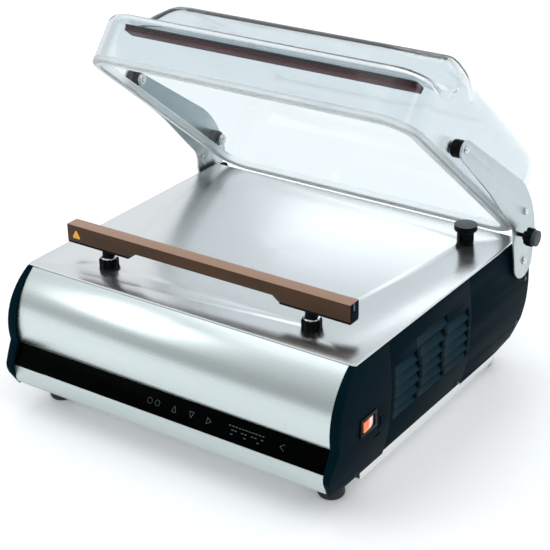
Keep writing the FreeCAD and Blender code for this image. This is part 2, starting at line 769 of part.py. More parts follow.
def make_bushes():
    """The flanged plastic bushes in which the hinge shaft turns."""
    body = new_body("hinge_bush_right")
    start = s.frame_x - s.frame_sheet - 3
    flange = half + 4
    end = s.arm_inner - s.joint_gap
    add(body, "X", start, end - start, (s.pivot_y, s.pivot_z, s.bush_radius))
    add(body, "X", flange, end - flange, (s.pivot_y, s.pivot_z, s.bush_flange))
    bore = s.shaft_radius + s.running_gap
    cut(body, "X", start, end - start, (s.pivot_y, s.pivot_z, bore))
    mirror("hinge_bush_left", body)


def make_shaft():
    """The cross shaft that joins the two arms, tapped at both ends."""
    body = new_body("hinge_shaft")
    add(body, "X", -s.arm_inner, s.arm_inner * 2, (0, 0, s.shaft_radius))
    depth = s.shaft_thread
    tapped = s.arm_bolt + 0.1
    cut(body, "X", s.arm_inner - depth, depth, (0, 0, tapped))
    cut(body, "X", -s.arm_inner, depth, (0, 0, tapped))
    hang_on_hinge(body)
    outside = (s.arm_inner + s.arm_sheet).value
    screws = [screw(4.8, 2.8, s.arm_bolt.value, 18, Vector(side * outside, 0, 0), Vector(side, 0, 0))
              for side in (-1, 1)]
    hang_on_hinge(group("pivot_screws", screws))


def make_springs():
    """A pair of torsion springs round the shaft that balance the dome."""
    wire = 1.6
    coil = s.shaft_radius.value + 3.5
    turns = 9
    pitch = wire * 2.15
    springs = []
    for side in (-1, 1):
        helix = Part.makeHelix(pitch, pitch * turns, coil)
        section = Part.Wire(Part.Circle(Vector(coil, 0, 0), Vector(0, 1, 0), wire).toShape())
        spring = Part.Wire(helix).makePipeShell([section], True, True)
        middle = side * (s.frame_x.value - 42)
        start = Vector(middle - pitch * turns / 2, s.pivot_y.value, s.pivot_z.value)
        spring.Placement = Placement(start, Rotation(Vector(0, 0, 1), Vector(1, 0, 0)))
        springs.append(spring)
    group("lid_springs", springs)


def make_arms():
    """The flat steel arms, wide over the hinge and narrow at the front bolt."""
    body = new_body("lid_arm_right")
    add(body, "X", s.arm_inner, s.arm_sheet, [
        (s.arm_front_y, s.arm_front_z - s.arm_nose), (-156, 33),
        (-72, 22, -30), (-45, 6), (-17, -18, 25), (23, 8),
        (0, 43, 126), (-90, 77),
        (s.arm_front_y, s.arm_front_z + s.arm_nose, s.arm_nose * 1.02),
    ])
    hole = s.arm_bolt + 0.2
    cut(body, "X", s.arm_inner, s.arm_sheet, (0, 0, hole),
        (s.arm_front_y, s.arm_front_z, hole), (s.arm_rear_y, s.arm_rear_z, hole),
        (s.knob_y, s.knob_z, hole))
    hang_on_hinge(body)
    mirror("lid_arm_left", body)


def arm_bolts():
    """The four bolt points, as side, Y and Z in the dome's own frame."""
    ends = ((s.arm_front_y.value, s.arm_front_z.value), (s.arm_rear_y.value, s.arm_rear_z.value))
    return [(side, y, z) for side in (-1, 1) for y, z in ends]


def make_arm_fixings():
    """Spacers between dome and arms, with their bolts and the nuts inside the dome."""
    wall = s.lid_half.value
    inner = s.arm_inner.value
    outer = inner + s.arm_sheet.value
    bore = s.arm_bolt.value + 0.3
    spacers, screws, nuts = [], [], []
    for side, y, z in arm_bolts():
        direction = Vector(side, 0, 0)
        radius = s.spacer_radius.value
        ring = [(bore, 0.05), (radius - 1.5, 0.05), (radius, 2), (radius, inner - wall - 2),
                (radius - 1.5, inner - wall - 0.05), (bore, inner - wall - 0.05)]
        spacers.append(turned_solid(ring, Vector(side * wall, y, z), direction))
        bolt = screw(4.4, 2.6, s.arm_bolt.value, outer - wall + s.lid_wall.value + 4,
                     Vector(side * outer, y, z), direction)
        screws.append(bolt)
        nut = [(bore, 0.05), (7.5, 0.05), (7.5, 1.2), (6, 1.2), (6, 3.2), (bore, 3.2)]
        inside = wall - s.lid_wall.value
        nuts.append(turned_solid(nut, Vector(side * inside, y, z), direction * -1))
    hang_on_hinge(group("arm_spacers", spacers))
    hang_on_hinge(group("arm_screws", screws))
    hang_on_hinge(group("arm_nuts", nuts))


def fluted(radius, flute, count):
    """The circles cut out of a rim to leave that many lobes."""
    angles = [2 * math.pi * (index + 0.5) / count for index in range(count)]
    rim = radius + flute * 0.44
    return [(rim * math.cos(angle), rim * math.sin(angle), flute) for angle in angles]


def make_knob():
    """The lobed hand knob, moulded round a threaded stud that passes through the arm."""
    knob = new_body("knob_right")
    start = s.knob_start
    grip_end = start + s.knob_grip
    add(knob, "X", start, s.knob_grip, (0, 0, s.knob_radius))
    for flute in fluted(s.knob_radius, s.knob_flute, 6):
        cut(knob, "X", start, s.knob_grip, flute)
    add(knob, "X", grip_end, s.knob_cap, (0, 0, s.knob_cap_radius))
    add(knob, "X", start - s.knob_neck, s.knob_neck, (0, 0, s.knob_radius / 2))
    washer = 2.2
    stud_start = s.arm_inner - washer - 0.4
    add(knob, "X", stud_start, start - s.knob_neck - stud_start, (0, 0, s.arm_bolt))
    add(knob, "X", stud_start, washer, (0, 0, s.arm_bolt + 2))
    angle = math.radians(s.lid_angle.value)
    turn_y = "%s * cos(%s) + %s * sin(%s)"
    turn_z = "%s * cos(%s) - %s * sin(%s)"
    y = s.knob_y.value * math.cos(angle) + s.knob_z.value * math.sin(angle)
    z = s.knob_z.value * math.cos(angle) - s.knob_y.value * math.sin(angle)
    tilt = s.lid_angle.text
    open_out(knob, s.pivot_y + Size(turn_y % (s.knob_y.text, tilt, s.knob_z.text, tilt), y),
             s.pivot_z + Size(turn_z % (s.knob_z.text, tilt, s.knob_y.text, tilt), z))


def make_stay_screw():
    """The short screw that fills the left arm's spare hole."""
    outside = (s.arm_inner + s.arm_sheet).value
    origin = Vector(-outside, s.knob_y.value, s.knob_z.value)
    stay = screw(4.4, 2.6, s.arm_bolt.value, s.arm_sheet.value + 1.5, origin, Vector(-1, 0, 0))
    hang_on_hinge(group("arm_stay_screw", [stay]))


# ---------------------------------------------------------------- dome

def tangent_radius(along, across):
    """The radius of an arc that starts square to a line and leaves it by these two."""
    return (along * along + across * across) / (along * 2)


def dome_form(name, wall, roof, rim):
    """A dome-shaped solid: wall and roof are how far it lies inside the outer skin."""
    body = new_body(name, keep=False)
    low = s.lid_low - roof
    top = s.lid_top - roof
    front = s.lid_front + wall
    rear = s.lid_rear - wall
    side = s.lid_half - wall
    add(body, "X", -side, side * 2, [
        (front, rim),
        (rear, rim),
        (rear, top - 46, 56 - roof),
        (rear - 60 + wall, top),
        (s.lid_front + 150, top - 1, 48 - roof),
        (s.lid_front + 104 + roof, top - 24),
        (s.lid_front + 88 + roof, low + 12, -22),
        (s.lid_front + 66 + roof, low + 1.5),
        (front + 14, low, 14),
        (front + 2, low - 12),
    ])
    wide = s.shoulder_width - wall
    drop = s.shoulder_drop - roof
    near = 1 - math.sqrt(0.5)
    far = math.sqrt(0.5)
    lower = tangent_radius(wide * near, drop * far)
    upper = tangent_radius(drop * near, wide * far)
    corner = s.lid_corner - wall
    for sign in (-1, 1):
        edge = (side + 1) * sign
        skirt = side * sign
        crown = (side - wide) * sign
        cut(body, "Y", front - 1, rear - front + 2, [
            (edge, top + 1), (edge, top - drop), (skirt, top - drop, lower * sign),
            ((side - wide * near) * sign, top - drop * near, upper * sign),
            (crown, top), (crown, top + 1),
        ])
        start = (side - corner) * sign
        cut(body, "Z", rim - 1, top - rim + 2,
            [(start, front - 1), (start, front, corner * sign), (skirt, front + corner),
             (edge, front + corner), (edge, front - 1)])
        cut(body, "Z", rim - 1, top - rim + 2,
            [(start, rear + 1), (start, rear, corner * -sign), (skirt, rear - corner),
             (edge, rear - corner), (edge, rear + 1)])
    return body


def make_dome():
    """The clear dome: a thin moulded shell with a thick lip round its open side."""
    outer = dome_form("dome_outer_form", 0, 0, s.lid_rim)
    inner = dome_form("dome_inner_form", s.lid_wall, s.lid_roof, s.lid_rim + s.lip_height)
    lip = new_body("dome_lip_form", keep=False)
    add(lip, "Z", s.lid_rim - 1, s.lip_height + 2,
        rim_outline(s.lip_width, s.lid_corner - s.lip_width))
    hollow = doc.addObject("Part::Fuse", "dome_hollow")
    hollow.Base = inner
    hollow.Tool = lip
    shell = doc.addObject("Part::Cut", "dome_shell")
    shell.Base = outer
    shell.Tool = hollow
    holes = doc.addObject("Part::Feature", "dome_holes")
    radius = s.arm_bolt.value + 0.3
    holes.Shape = Part.makeCompound([
        Part.makeCylinder(radius, 12, Vector(side * 218, y, z), Vector(side, 0, 0))
        for side, y, z in arm_bolts()])
    drilled = doc.addObject("Part::Cut", "dome_drilled")
    drilled.Base = shell
    drilled.Tool = holes
    groove = ring_form("gasket_groove", s.gasket_width + 0.2, s.lid_rim - 1, s.gasket_depth + 1)
    dome = doc.addObject("Part::Cut", "lid_dome")
    dome.Label = "lid_dome"
    dome.Base = drilled
    dome.Tool = groove
    nodes["lid_dome"] = dome
    hang_on_hinge(dome)


def rim_outline(inset, radius):
    """The dome's plan outline, inset from its outer face."""
    return round_outline(-s.lid_half + inset, s.lid_front + inset,
                         s.lid_half - inset, s.lid_rear - inset, radius)


def ring_form(name, width, start, height, keep=False):
    """A flat ring that follows the middle of the dome's lip."""
    body = new_body(name, keep)
    outer = s.lip_width / 2 - width / 2
    inner = s.lip_width / 2 + width / 2
    add(body, "Z", start, height, rim_outline(outer, s.lid_corner - outer),
        rim_outline(inner, s.lid_corner - inner))
    return body


def make_gasket():
    """The silicone seal pressed into the groove of the lip."""
    start = s.lid_rim + s.gasket_depth - s.gasket_height
    body = ring_form("lid_gasket", s.gasket_width, start, s.gasket_height - 0.1, keep=True)
    hang_on_hinge(body)


def make_counter_bar():
    """The bar inside the dome that the bag is pressed against, and its soft strip."""
    holder = new_body("counter_bar_holder")
    strip = new_body("counter_bar_strip")
    top = s.lid_low - s.lid_roof - 0.05
    seam = s.counter_bottom + s.counter_rubber
    wide = s.counter_y + s.counter_width
    add(holder, "Z", seam, top - seam, box_outline(-s.bar_half, s.counter_y, s.bar_half, wide))
    add(strip, "Z", s.counter_bottom, s.counter_rubber,
        box_outline(-s.bar_half, s.counter_y + 1, s.bar_half, wide - 1))
    hang_on_hinge(holder)
    hang_on_hinge(strip)


# ---------------------------------------------------------------- sealing bar

def bar_y(distance):
    """A Y position measured from the front face of the sealing bar."""
    return plate_y(s.bar_front + distance)


def above_plate(distance):
    return s.plate_top + distance


def bar_side_view(inset):
    """The bar seen from the front: full height at the ends, cut away in the middle."""
    low = s.bar_bottom + s.bar_foot
    top = s.bar_bottom + s.bar_height - inset
    notch = s.bar_bottom + s.bar_notch
    ramp = s.bar_ramp
    end = s.bar_half
    return [
        (-end, above_plate(low)), (-s.bar_notch_half - ramp, above_plate(low)),
        (-s.bar_notch_half, above_plate(notch)), (s.bar_notch_half, above_plate(notch)),
        (s.bar_notch_half + ramp, above_plate(low)), (end, above_plate(low)),
        (end, above_plate(top)), (-end, above_plate(top)),
    ]


def make_bar_core():
    """The aluminium bar, with a slot along its top for the heating strip's carrier."""
    body = new_body("seal_bar_core")
    add(body, "Y", bar_y(s.tape), s.bar_width - s.tape * 2, bar_side_view(s.tape))
    slot = s.bar_slot / 2
    floor = s.bar_bottom + s.bar_slot_floor
    fit = s.running_gap
    middle = bar_y(s.bar_width / 2)
    cut(body, "X", -s.bar_half - 1, s.bar_half * 2 + 2,
        box_outline(middle - slot, above_plate(floor),
                    middle + slot, above_plate(s.bar_bottom + s.bar_height + 1)))
    carrier = new_body("wire_carrier")
    add(carrier, "X", -s.bar_half + 6, s.bar_half * 2 - 12,
        box_outline(middle - slot + fit, above_plate(floor + fit),
                    middle + slot - fit, above_plate(s.bar_bottom + s.bar_height - 1.1)))
    strip = new_body("heating_strip")
    add(strip, "X", -s.bar_half + 8, s.bar_half * 2 - 16,
        box_outline(middle - 1.5, above_plate(s.bar_bottom + s.bar_height - 1.05),
                    middle + 1.5, above_plate(s.bar_bottom + s.bar_height - 0.65)))


def make_bar_tape():
    """The brown non-stick tape over both faces and the top of the bar."""
    body = new_body("bar_tape")
    add(body, "Y", bar_y(0), s.bar_width, bar_side_view(0))
    low = above_plate(s.bar_bottom - 1)
    high = above_plate(s.bar_bottom + s.bar_height) - s.tape + 0.02
    cut(body, "X", -s.bar_half - 1, s.bar_half * 2 + 2,
        box_outline(bar_y(s.tape - 0.02), low, bar_y(s.bar_width - s.tape + 0.02), high))


def make_bar_feet():
    """The black insulating strips under the two deep ends of the bar."""
    for side, sign in (("left", -1), ("right", 1)):
        body = new_body("bar_foot_" + side)
        inner = (s.bar_notch_half + s.bar_ramp + 1) * sign
        outer = s.bar_half * sign
        start, end = (outer, inner) if sign < 0 else (inner, outer)
        low = above_plate(s.bar_bottom)
        add(body, "X", start, end - start,
            box_outline(bar_y(0.5), low, bar_y(s.bar_width - 0.5), low + s.bar_foot - 0.05))


def turned_pair(name, profile):
    """Two turned pieces on the axes of the bar's posts."""
    y = bar_y(s.bar_width / 2).value
    z = s.plate_top.value
    solids = [turned_solid(profile, Vector(side * s.bar_post_x.value, y, z), Vector(0, 0, 1))
              for side in (-1, 1)]
    return group(name, solids)


def make_lift():
    """The posts that lift the bar: cylinders below, sleeves and hand nuts above."""
    rod = s.bar_rod.value
    low = -s.cylinder_length.value
    cylinder = s.cylinder_radius.value
    wall = 3
    bore = rod + 0.08
    deck = -s.plate_sheet.value - s.joint_gap.value
    turned_pair("lift_cylinders", [
        (bore, deck), (cylinder, deck), (cylinder, low), (rod * 2, low), (rod * 2, low + wall),
        (cylinder - wall, low + wall), (cylinder - wall, deck - 10), (bore, deck - 10)])
    piston = cylinder - wall - 0.4
    bottom = low + wall + 6
    top = s.bar_bottom.value - 0.05
    turned_pair("lift_rods", [
        (0, bottom), (piston, bottom), (piston, bottom + 8), (rod, bottom + 8),
        (rod, top), (0, top)])
    flange = s.nut_flange.value
    neck = s.nut_neck.value
    start = s.nut_start.value
    step = s.nut_step.value
    turned_pair("bar_nuts", [
        (rod + 0.05, start), (flange, start), (flange, step), (neck, step),
        (neck, top - 0.05), (rod + 0.05, top - 0.05)])


def make_guide_sleeves():
    """The lobed sleeves that hold the cylinders to the plate and guide their rods."""
    bore = s.bar_rod + s.running_gap
    neck = s.post_neck
    seat = 0.05
    height = s.post_height - seat
    sleeves = []
    for side, sign in (("left", -1), ("right", 1)):
        tool = new_body("sleeve_" + side, keep=False)
        x = s.bar_post_x * sign
        y = bar_y(s.bar_width / 2)
        add(tool, "Z", above_plate(seat), height, (x, y, s.post_radius))
        add(tool, "Z", below_plate(s.plate_sheet), s.plate_sheet + seat, (x, y, neck))
        for u, v, flute in fluted(s.post_radius, s.post_flutes, 8):
            cut(tool, "Z", above_plate(seat), height, (x + u, y + v, flute))
        cut(tool, "Z", below_plate(s.plate_sheet), s.plate_sheet + s.post_height, (x, y, bore))
        sleeves.append(tool)
    pair = doc.addObject("Part::Compound", "guide_sleeves")
    pair.Label = "guide_sleeves"
    pair.Links = sleeves
    nodes["guide_sleeves"] = pair
    place(pair, 0, 0, 0)


# ---------------------------------------------------------------- nozzle and switch

def make_nozzle():
    """The mushroom-shaped suction nozzle with side ports under its cap."""
    body = new_body("suction_nozzle")
    ledge = s.nozzle_height - 9
    seat = 0.05
    tail = -8
    turn(body, [
        (s.nozzle_bore, tail), (s.nozzle_tail, tail), (s.nozzle_tail, seat),
        (s.nozzle_stem, seat), (s.nozzle_stem, ledge), (s.nozzle_cap, ledge + 2),
        (s.nozzle_cap, s.nozzle_height), (0, s.nozzle_height), (0, s.nozzle_height - 4),
        (s.nozzle_bore, s.nozzle_height - 4),
    ])
    port = box_outline(-s.nozzle_port / 2, 5, s.nozzle_port / 2, ledge - 2)
    cut(body, "Y", -s.nozzle_cap, s.nozzle_cap * 2, port)
    cut(body, "X", -s.nozzle_cap, s.nozzle_cap * 2, port)
    place(body, s.nozzle_x, plate_y(s.nozzle_y), s.plate_top)


def make_switch():
    """The mains switch: a bezel let into the cheek, and its rocker, pressed to on.

    The rocker turns on two pins that stand in the bezel above and below it.
    """
    housing = new_body("switch_housing")
    inner = half - s.cheek_width + 0.5
    face = half + s.side_bulge + 1.5
    pivot_x = face - s.rocker_pivot
    y = plate_y(s.switch_y)
    z = below_plate(s.switch_drop)
    add(housing, "X", inner, face - inner, switch_outline(0, s.switch_length, s.switch_height))
    cut(housing, "X", face - 9, 9, switch_outline(0.4, s.rocker_length, s.rocker_height))
    pin_half = s.rocker_height / 2 + 1.1
    hole_half = pin_half + 0.2
    cut(housing, "Z", z - hole_half, hole_half * 2, (pivot_x, y, s.rocker_pin + s.running_gap))
    rocker = new_body("switch_rocker")
    reach = s.rocker_length / 2 - 0.6
    thick = s.rocker_height / 2 - 0.2
    back = -3.2
    face_rise = 1.6
    add(rocker, "Z", -thick, thick * 2, [
        (back, 1 - reach), (face_rise, -reach, 62), (face_rise, reach), (back, reach - 1)])
    add(rocker, "Z", -pin_half, pin_half * 2, (0, 0, s.rocker_pin))
    place(rocker, pivot_x, y, z)
    turned = Rotation(Vector(0, 0, 1), s.rocker_tilt.value)
    rocker.Placement = Placement(rocker.Placement.Base, turned)
    rocker.setExpression("Placement.Rotation.Angle", s.rocker_tilt.text)


def make_cover_screws():
    """The dark screws that hold the side covers."""
    screws = []
    for y, drop, seat in (VENT_SCREW,) + REAR_SCREWS:
        for side in (-1, 1):
            x = side * (seat + s.running_gap).value
            origin = Vector(x, plate_y(y).value, below_plate(drop).value)
            screws.append(screw(COVER_HEAD, 2, COVER_SHANK, 3, origin, Vector(side, 0, 0)))
    group("cover_screws", screws)


# ---------------------------------------------------------------- inside the case

def make_pump():
    """The oil vacuum pump, its motor, and the fan on the motor's tail shaft."""
    floor = below_plate(s.tray_drop) + s.steel_sheet + 0.1
    left = s.pump_x - s.pump_width / 2
    front = s.pump_y - s.pump_depth / 2
    pump = new_body("vacuum_pump")
    add(pump, "Z", floor, s.pump_height,
        round_outline(left, front, left + s.pump_width, front + s.pump_depth, 8))
    pitch = s.fin_pitch
    fins = [box_outline(left + pitch * (fin + 0.5), floor + 30,
                        left + pitch * (fin + 1), floor + s.pump_height)
            for fin in range(7)]
    cut(pump, "Y", front, s.fin_depth, *fins)
    cut(pump, "Y", front + s.pump_depth - s.fin_depth, s.fin_depth, *fins)
    axis_z = floor + s.motor_radius + 3
    motor = new_body("pump_motor")
    end = left - 0.3
    start = end - s.motor_length
    add(motor, "X", start, s.motor_length, (s.pump_y, axis_z, s.motor_radius))
    foot = box_outline(s.pump_y - 30, floor, s.pump_y + 30, axis_z - s.motor_radius + 6)
    add(motor, "X", start + 20, s.motor_length - 40, foot)
    cut(motor, "X", start, 20, (s.pump_y, axis_z, s.motor_shaft + s.running_gap))
    fan = new_body("motor_fan")
    hub = start - s.fan_length - 2
    add(fan, "X", hub, s.fan_length + 16, (s.pump_y, axis_z, s.motor_shaft))
    add(fan, "X", hub, s.fan_length, (s.pump_y, axis_z, s.fan_hub))
    blades = 6
    for blade in range(blades):
        angle = 2 * math.pi * blade / blades
        near, far, thick = 9.0, s.fan_radius.value, 1.2
        corners = []
        for radius, side in ((near, -thick), (far, -thick), (far, thick), (near, thick)):
            y = s.pump_y + (radius * math.cos(angle) - side * math.sin(angle))
            z = axis_z + (radius * math.sin(angle) + side * math.cos(angle))
            corners.append((y, z))
        add(fan, "X", hub + 2, s.fan_length - 4, corners)


def make_transformer():
    """The sealing transformer: a laminated core round its winding."""
    size = s.transformer_size
    floor = below_plate(s.tray_drop) + s.steel_sheet + 0.1
    x, y = s.transformer_x, s.transformer_y
    core = new_body("transformer_core")
    top = floor + size * 0.85
    add(core, "Y", y - size / 4, size / 2, box_outline(x - size / 2, floor, x + size / 2, top))
    windows = [box_outline(x + low, floor + 12, x + high, top - 12)
               for low, high in ((-24, -9), (9, 24))]
    cut(core, "Y", y - size / 4, size / 2, *windows)
    coil = new_body("transformer_coil")
    rise = floor + 12.3
    height = size * 0.85 - 24.6
    reach = size / 2.4
    add(coil, "Z", rise, height, box_outline(x - 23.5, y - reach, x + 23.5, y + reach))
    leg = size / 4 + s.joint_gap
    cut(coil, "Z", rise, height, box_outline(x - 9.3, y - leg, x + 9.3, y + leg))


def make_valve():
    """The solenoid valve that lets air back into the chamber."""
    body = new_body("solenoid_valve")
    x = s.nozzle_x - 60
    y = plate_y(s.nozzle_y - 24)
    side = s.valve_width / 2
    middle = 52
    add(body, "Z", below_plate(middle + 44), 44, box_outline(x - side, y - side, x + side, y + side))
    add(body, "Z", below_plate(middle), middle - s.plate_sheet - 0.1, (x, y, side - 4))


def make_hose():
    """The suction hose from the nozzle's tail to the pump's inlet."""
    x = s.nozzle_x.value
    y = plate_y(s.nozzle_y).value
    radius = s.hose_radius.value
    high = s.plate_top.value - 9
    low = 118
    inlet = Vector(s.pump_x.value + s.pump_width.value / 2 + 0.2, s.pump_y.value, 92)
    bend = 18
    points = [Vector(x, y, high), Vector(x, y, low),
              Vector(x, inlet.y, low), Vector(inlet.x, inlet.y, low)]
    edges = []
    last = points[0]
    for before, corner, after in zip(points, points[1:], points[2:]):
        toward = (before - corner).normalize()
        away = (after - corner).normalize()
        first = corner + toward * bend
        second = corner + away * bend
        middle = corner + (toward + away) * (bend * (1 - math.sqrt(0.5)))
        edges.append(Part.LineSegment(last, first).toShape())
        edges.append(Part.Arc(first, middle, second).toShape())
        last = second
    edges.append(Part.LineSegment(last, points[-1]).toShape())
    section = Part.Wire(Part.Circle(points[0], Vector(0, 0, 1), radius).toShape())
    hose = doc.addObject("Part::Feature", "suction_hose")
    hose.Label = "suction_hose"
    hose.Shape = Part.Wire(edges).makePipeShell([section], True, False)
    nodes["suction_hose"] = hose


def check_and_write():
    """Stop on any failed feature, then write one STEP file for each piece."""
    doc.recompute()
    failed = [item.Name for item in doc.Objects if {"Invalid", "Error"} & set(item.State)]
    if failed:
        raise RuntimeError("failed: " + ", ".join(failed))
    for item in doc.Objects:
        if item.TypeId == "PartDesign::Pocket":
            removed = item.BaseFeature.Shape.Volume - item.Shape.Volume
            if removed < 0.01:
                raise RuntimeError("%s cuts nothing" % item.Name)
    for name, item in nodes.items():
        if item.Shape.isNull() or not item.Shape.isValid() or not item.Shape.Solids:
            raise RuntimeError("%s has no valid shape" % name)
    os.makedirs("parts", exist_ok=True)
    for name, item in nodes.items():
        item.Shape.exportStep("parts/%s.step" % name)
        print("%-22s %2d solid(s) %10.1f mm3" % (name, len(item.Shape.Solids), item.Shape.Volume))
    print(len(nodes), "nodes")


make_top_plate()
make_nose_panel()
make_control_panel()
make_control_board()
make_front_skirt()
make_front_cheeks()
make_vent_panels()
make_rear_cheeks()
make_rear_panel()
make_power_inlet()
make_base_tray()
make_feet()
make_frame()
make_bushes()
make_shaft()
make_springs()
make_arms()
make_arm_fixings()
make_knob()
make_stay_screw()
make_dome()
make_gasket()
make_counter_bar()
make_bar_core()
make_bar_tape()
make_bar_feet()
make_lift()
make_guide_sleeves()
make_nozzle()
make_switch()
make_cover_screws()
make_pump()
make_transformer()
make_valve()
make_hose()
check_and_write()
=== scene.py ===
import json
import math

import bmesh
import bpy
from mathutils import Matrix, Vector


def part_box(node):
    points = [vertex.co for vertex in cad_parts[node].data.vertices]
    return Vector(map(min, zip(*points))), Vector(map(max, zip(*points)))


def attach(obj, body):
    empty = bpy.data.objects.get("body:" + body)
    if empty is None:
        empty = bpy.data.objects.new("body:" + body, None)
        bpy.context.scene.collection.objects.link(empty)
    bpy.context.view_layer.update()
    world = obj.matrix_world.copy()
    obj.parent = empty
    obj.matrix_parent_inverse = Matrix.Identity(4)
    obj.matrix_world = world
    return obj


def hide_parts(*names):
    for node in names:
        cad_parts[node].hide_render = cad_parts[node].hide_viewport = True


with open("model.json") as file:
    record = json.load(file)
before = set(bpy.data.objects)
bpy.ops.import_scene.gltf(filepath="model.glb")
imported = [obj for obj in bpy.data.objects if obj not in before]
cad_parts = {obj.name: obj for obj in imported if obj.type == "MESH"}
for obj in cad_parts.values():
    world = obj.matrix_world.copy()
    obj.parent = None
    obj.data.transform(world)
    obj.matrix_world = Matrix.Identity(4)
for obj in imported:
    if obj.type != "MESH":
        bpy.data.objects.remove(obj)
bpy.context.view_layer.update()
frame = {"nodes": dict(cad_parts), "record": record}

# Lengths are in metres. The machine's middle line, width and front come from its work plate.
PLATE_LOW, PLATE_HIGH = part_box("top_plate")
MIDDLE = (PLATE_LOW.x + PLATE_HIGH.x) / 2
HALF = (PLATE_HIGH.x - PLATE_LOW.x) / 2
PLATE_FRONT = PLATE_LOW.y
PLATE_TOP = PLATE_HIGH.z

# The dome's hinge axis, and how far the dome stands open at rest.
PIVOT = Vector((MIDDLE, 0.17935, 0.150))
LID_ANGLE = math.radians(39.3)


# ---------------------------------------------------------------- materials

class Nodes:
    """A short way to wire one material's node tree."""

    def __init__(self, name):
        self.material = bpy.data.materials.new(name)
        self.material.use_nodes = True
        self.tree = self.material.node_tree
        self.tree.nodes.clear()
        self.output = self.add("OutputMaterial")

    def add(self, kind, **settings):
        node = self.tree.nodes.new("ShaderNode" + kind)
        for key, value in settings.items():
            setattr(node, key, value)
        return node

    def join(self, source, target):
        self.tree.links.new(source, target)

    def position(self, scale=(1, 1, 1)):
        """The point on the object in metres, scaled for a texture."""
        place = self.add("TexCoord")
        mapping = self.add("Mapping")
        mapping.inputs["Scale"].default_value = scale
        self.join(place.outputs["Object"], mapping.inputs["Vector"])
        return mapping.outputs["Vector"]

    def noise(self, scale, stretch=(1, 1, 1), detail=3.0, roughness=0.5):
        """A noise texture's grey value, stretched along the axes with small numbers."""
        node = self.add("TexNoise")
        node.inputs["Scale"].default_value = scale
        node.inputs["Detail"].default_value = detail
        node.inputs["Roughness"].default_value = roughness
        self.join(self.position(stretch), node.inputs["Vector"])
        return node.outputs["Fac"]

    def spread(self, source, low, high, start=0.3, end=0.7):
        """Map a texture's useful range to the numbers from low to high."""
        node = self.add("MapRange")
        node.inputs["From Min"].default_value = start
        node.inputs["From Max"].default_value = end
        node.inputs["To Min"].default_value = low
        node.inputs["To Max"].default_value = high
        self.join(source, node.inputs["Value"])
        return node.outputs["Result"]

    def blend(self, factor, first, second, mode="MIX"):
        """A colour between two colours, each a tuple or a socket."""
        node = self.add("Mix", data_type="RGBA", blend_type=mode)
        color_a, color_b, color_out = node.inputs[6], node.inputs[7], node.outputs[2]
        if isinstance(factor, float):
            node.inputs["Factor"].default_value = factor
        else:
            self.join(factor, node.inputs["Factor"])
        for value, socket in ((first, color_a), (second, color_b)):
            if isinstance(value, tuple):
                socket.default_value = value + (1.0,)
            else:
                self.join(value, socket)
        return color_out

    def bump(self, height, strength, distance):
        node = self.add("Bump")
        node.inputs["Strength"].default_value = strength
        node.inputs["Distance"].default_value = distance
        self.join(height, node.inputs["Height"])
        return node.outputs["Normal"]

    def shader(self, color, roughness, normal=None, **fixed):
        """The Principled shader; fixed values go on its own sockets."""
        node = self.add("BsdfPrincipled")
        given = ((color, "Base Color"), (roughness, "Roughness"), (normal, "Normal"))
        for value, name in given:
            if value is None:
                continue
            if isinstance(value, tuple):
                node.inputs[name].default_value = value + (1.0,)
            elif isinstance(value, float):
                node.inputs[name].default_value = value
            else:
                self.join(value, node.inputs[name])
        for name, value in fixed.items():
            node.inputs[name.replace("_", " ")].default_value = value
        self.join(node.outputs["BSDF"], self.output.inputs["Surface"])
        return node


def brushed_steel(name, base, roughness, grain=1.0):
    """Stainless sheet with long fine scratches across the machine."""
    n = Nodes(name)
    lines = n.noise(900.0, (0.010, 1.0, 1.0), 4.0, 0.6)
    bands = n.noise(120.0, (0.015, 1.0, 1.0), 3.0)
    cloud = n.noise(5.0, (1, 1, 1), 2.0)
    dark = tuple(c * 0.96 for c in base)
    color = n.blend(n.spread(lines, 0.0, 1.0), dark, base)
    color = n.blend(n.spread(cloud, 0.0, 0.08), color, (0.62, 0.68, 0.70))
    rough = n.spread(bands, roughness * 0.93, roughness * 1.07)
    normal = n.bump(lines, 0.05 * grain, 0.0003)
    n.shader(color, rough, normal, Metallic=1.0, Anisotropic=0.35)
    return n.material


def satin_metal(name, base, roughness):
    """Plain turned, plated or rolled metal with light handling marks."""
    n = Nodes(name)
    grain = n.noise(700.0, (1, 1, 1), 3.0)
    wear = n.noise(40.0, (1, 1, 1), 5.0)
    color = n.blend(n.spread(wear, 0.0, 1.0), tuple(c * 0.85 for c in base), base)
    rough = n.spread(wear, roughness * 0.8, roughness * 1.25)
    n.shader(color, rough, n.bump(grain, 0.08, 0.0003), Metallic=1.0)
    return n.material


def plastic(name, base, roughness, grain_scale=900.0, grain=0.15, gloss=0.5):
    """Moulded plastic or rubber with a fine spark-eroded grain."""
    n = Nodes(name)
    grain_map = n.noise(grain_scale, (1, 1, 1), 4.0, 0.6)
    cloud = n.noise(14.0, (1, 1, 1), 4.0)
    light = tuple(min(1.0, c * 1.4) for c in base)
    color = n.blend(n.spread(cloud, 0.0, 1.0), base, light)
    rough = n.spread(cloud, roughness * 0.9, roughness * 1.12)
    n.shader(color, rough, n.bump(grain_map, grain, 0.0005), Specular_IOR_Level=gloss)
    return n.material


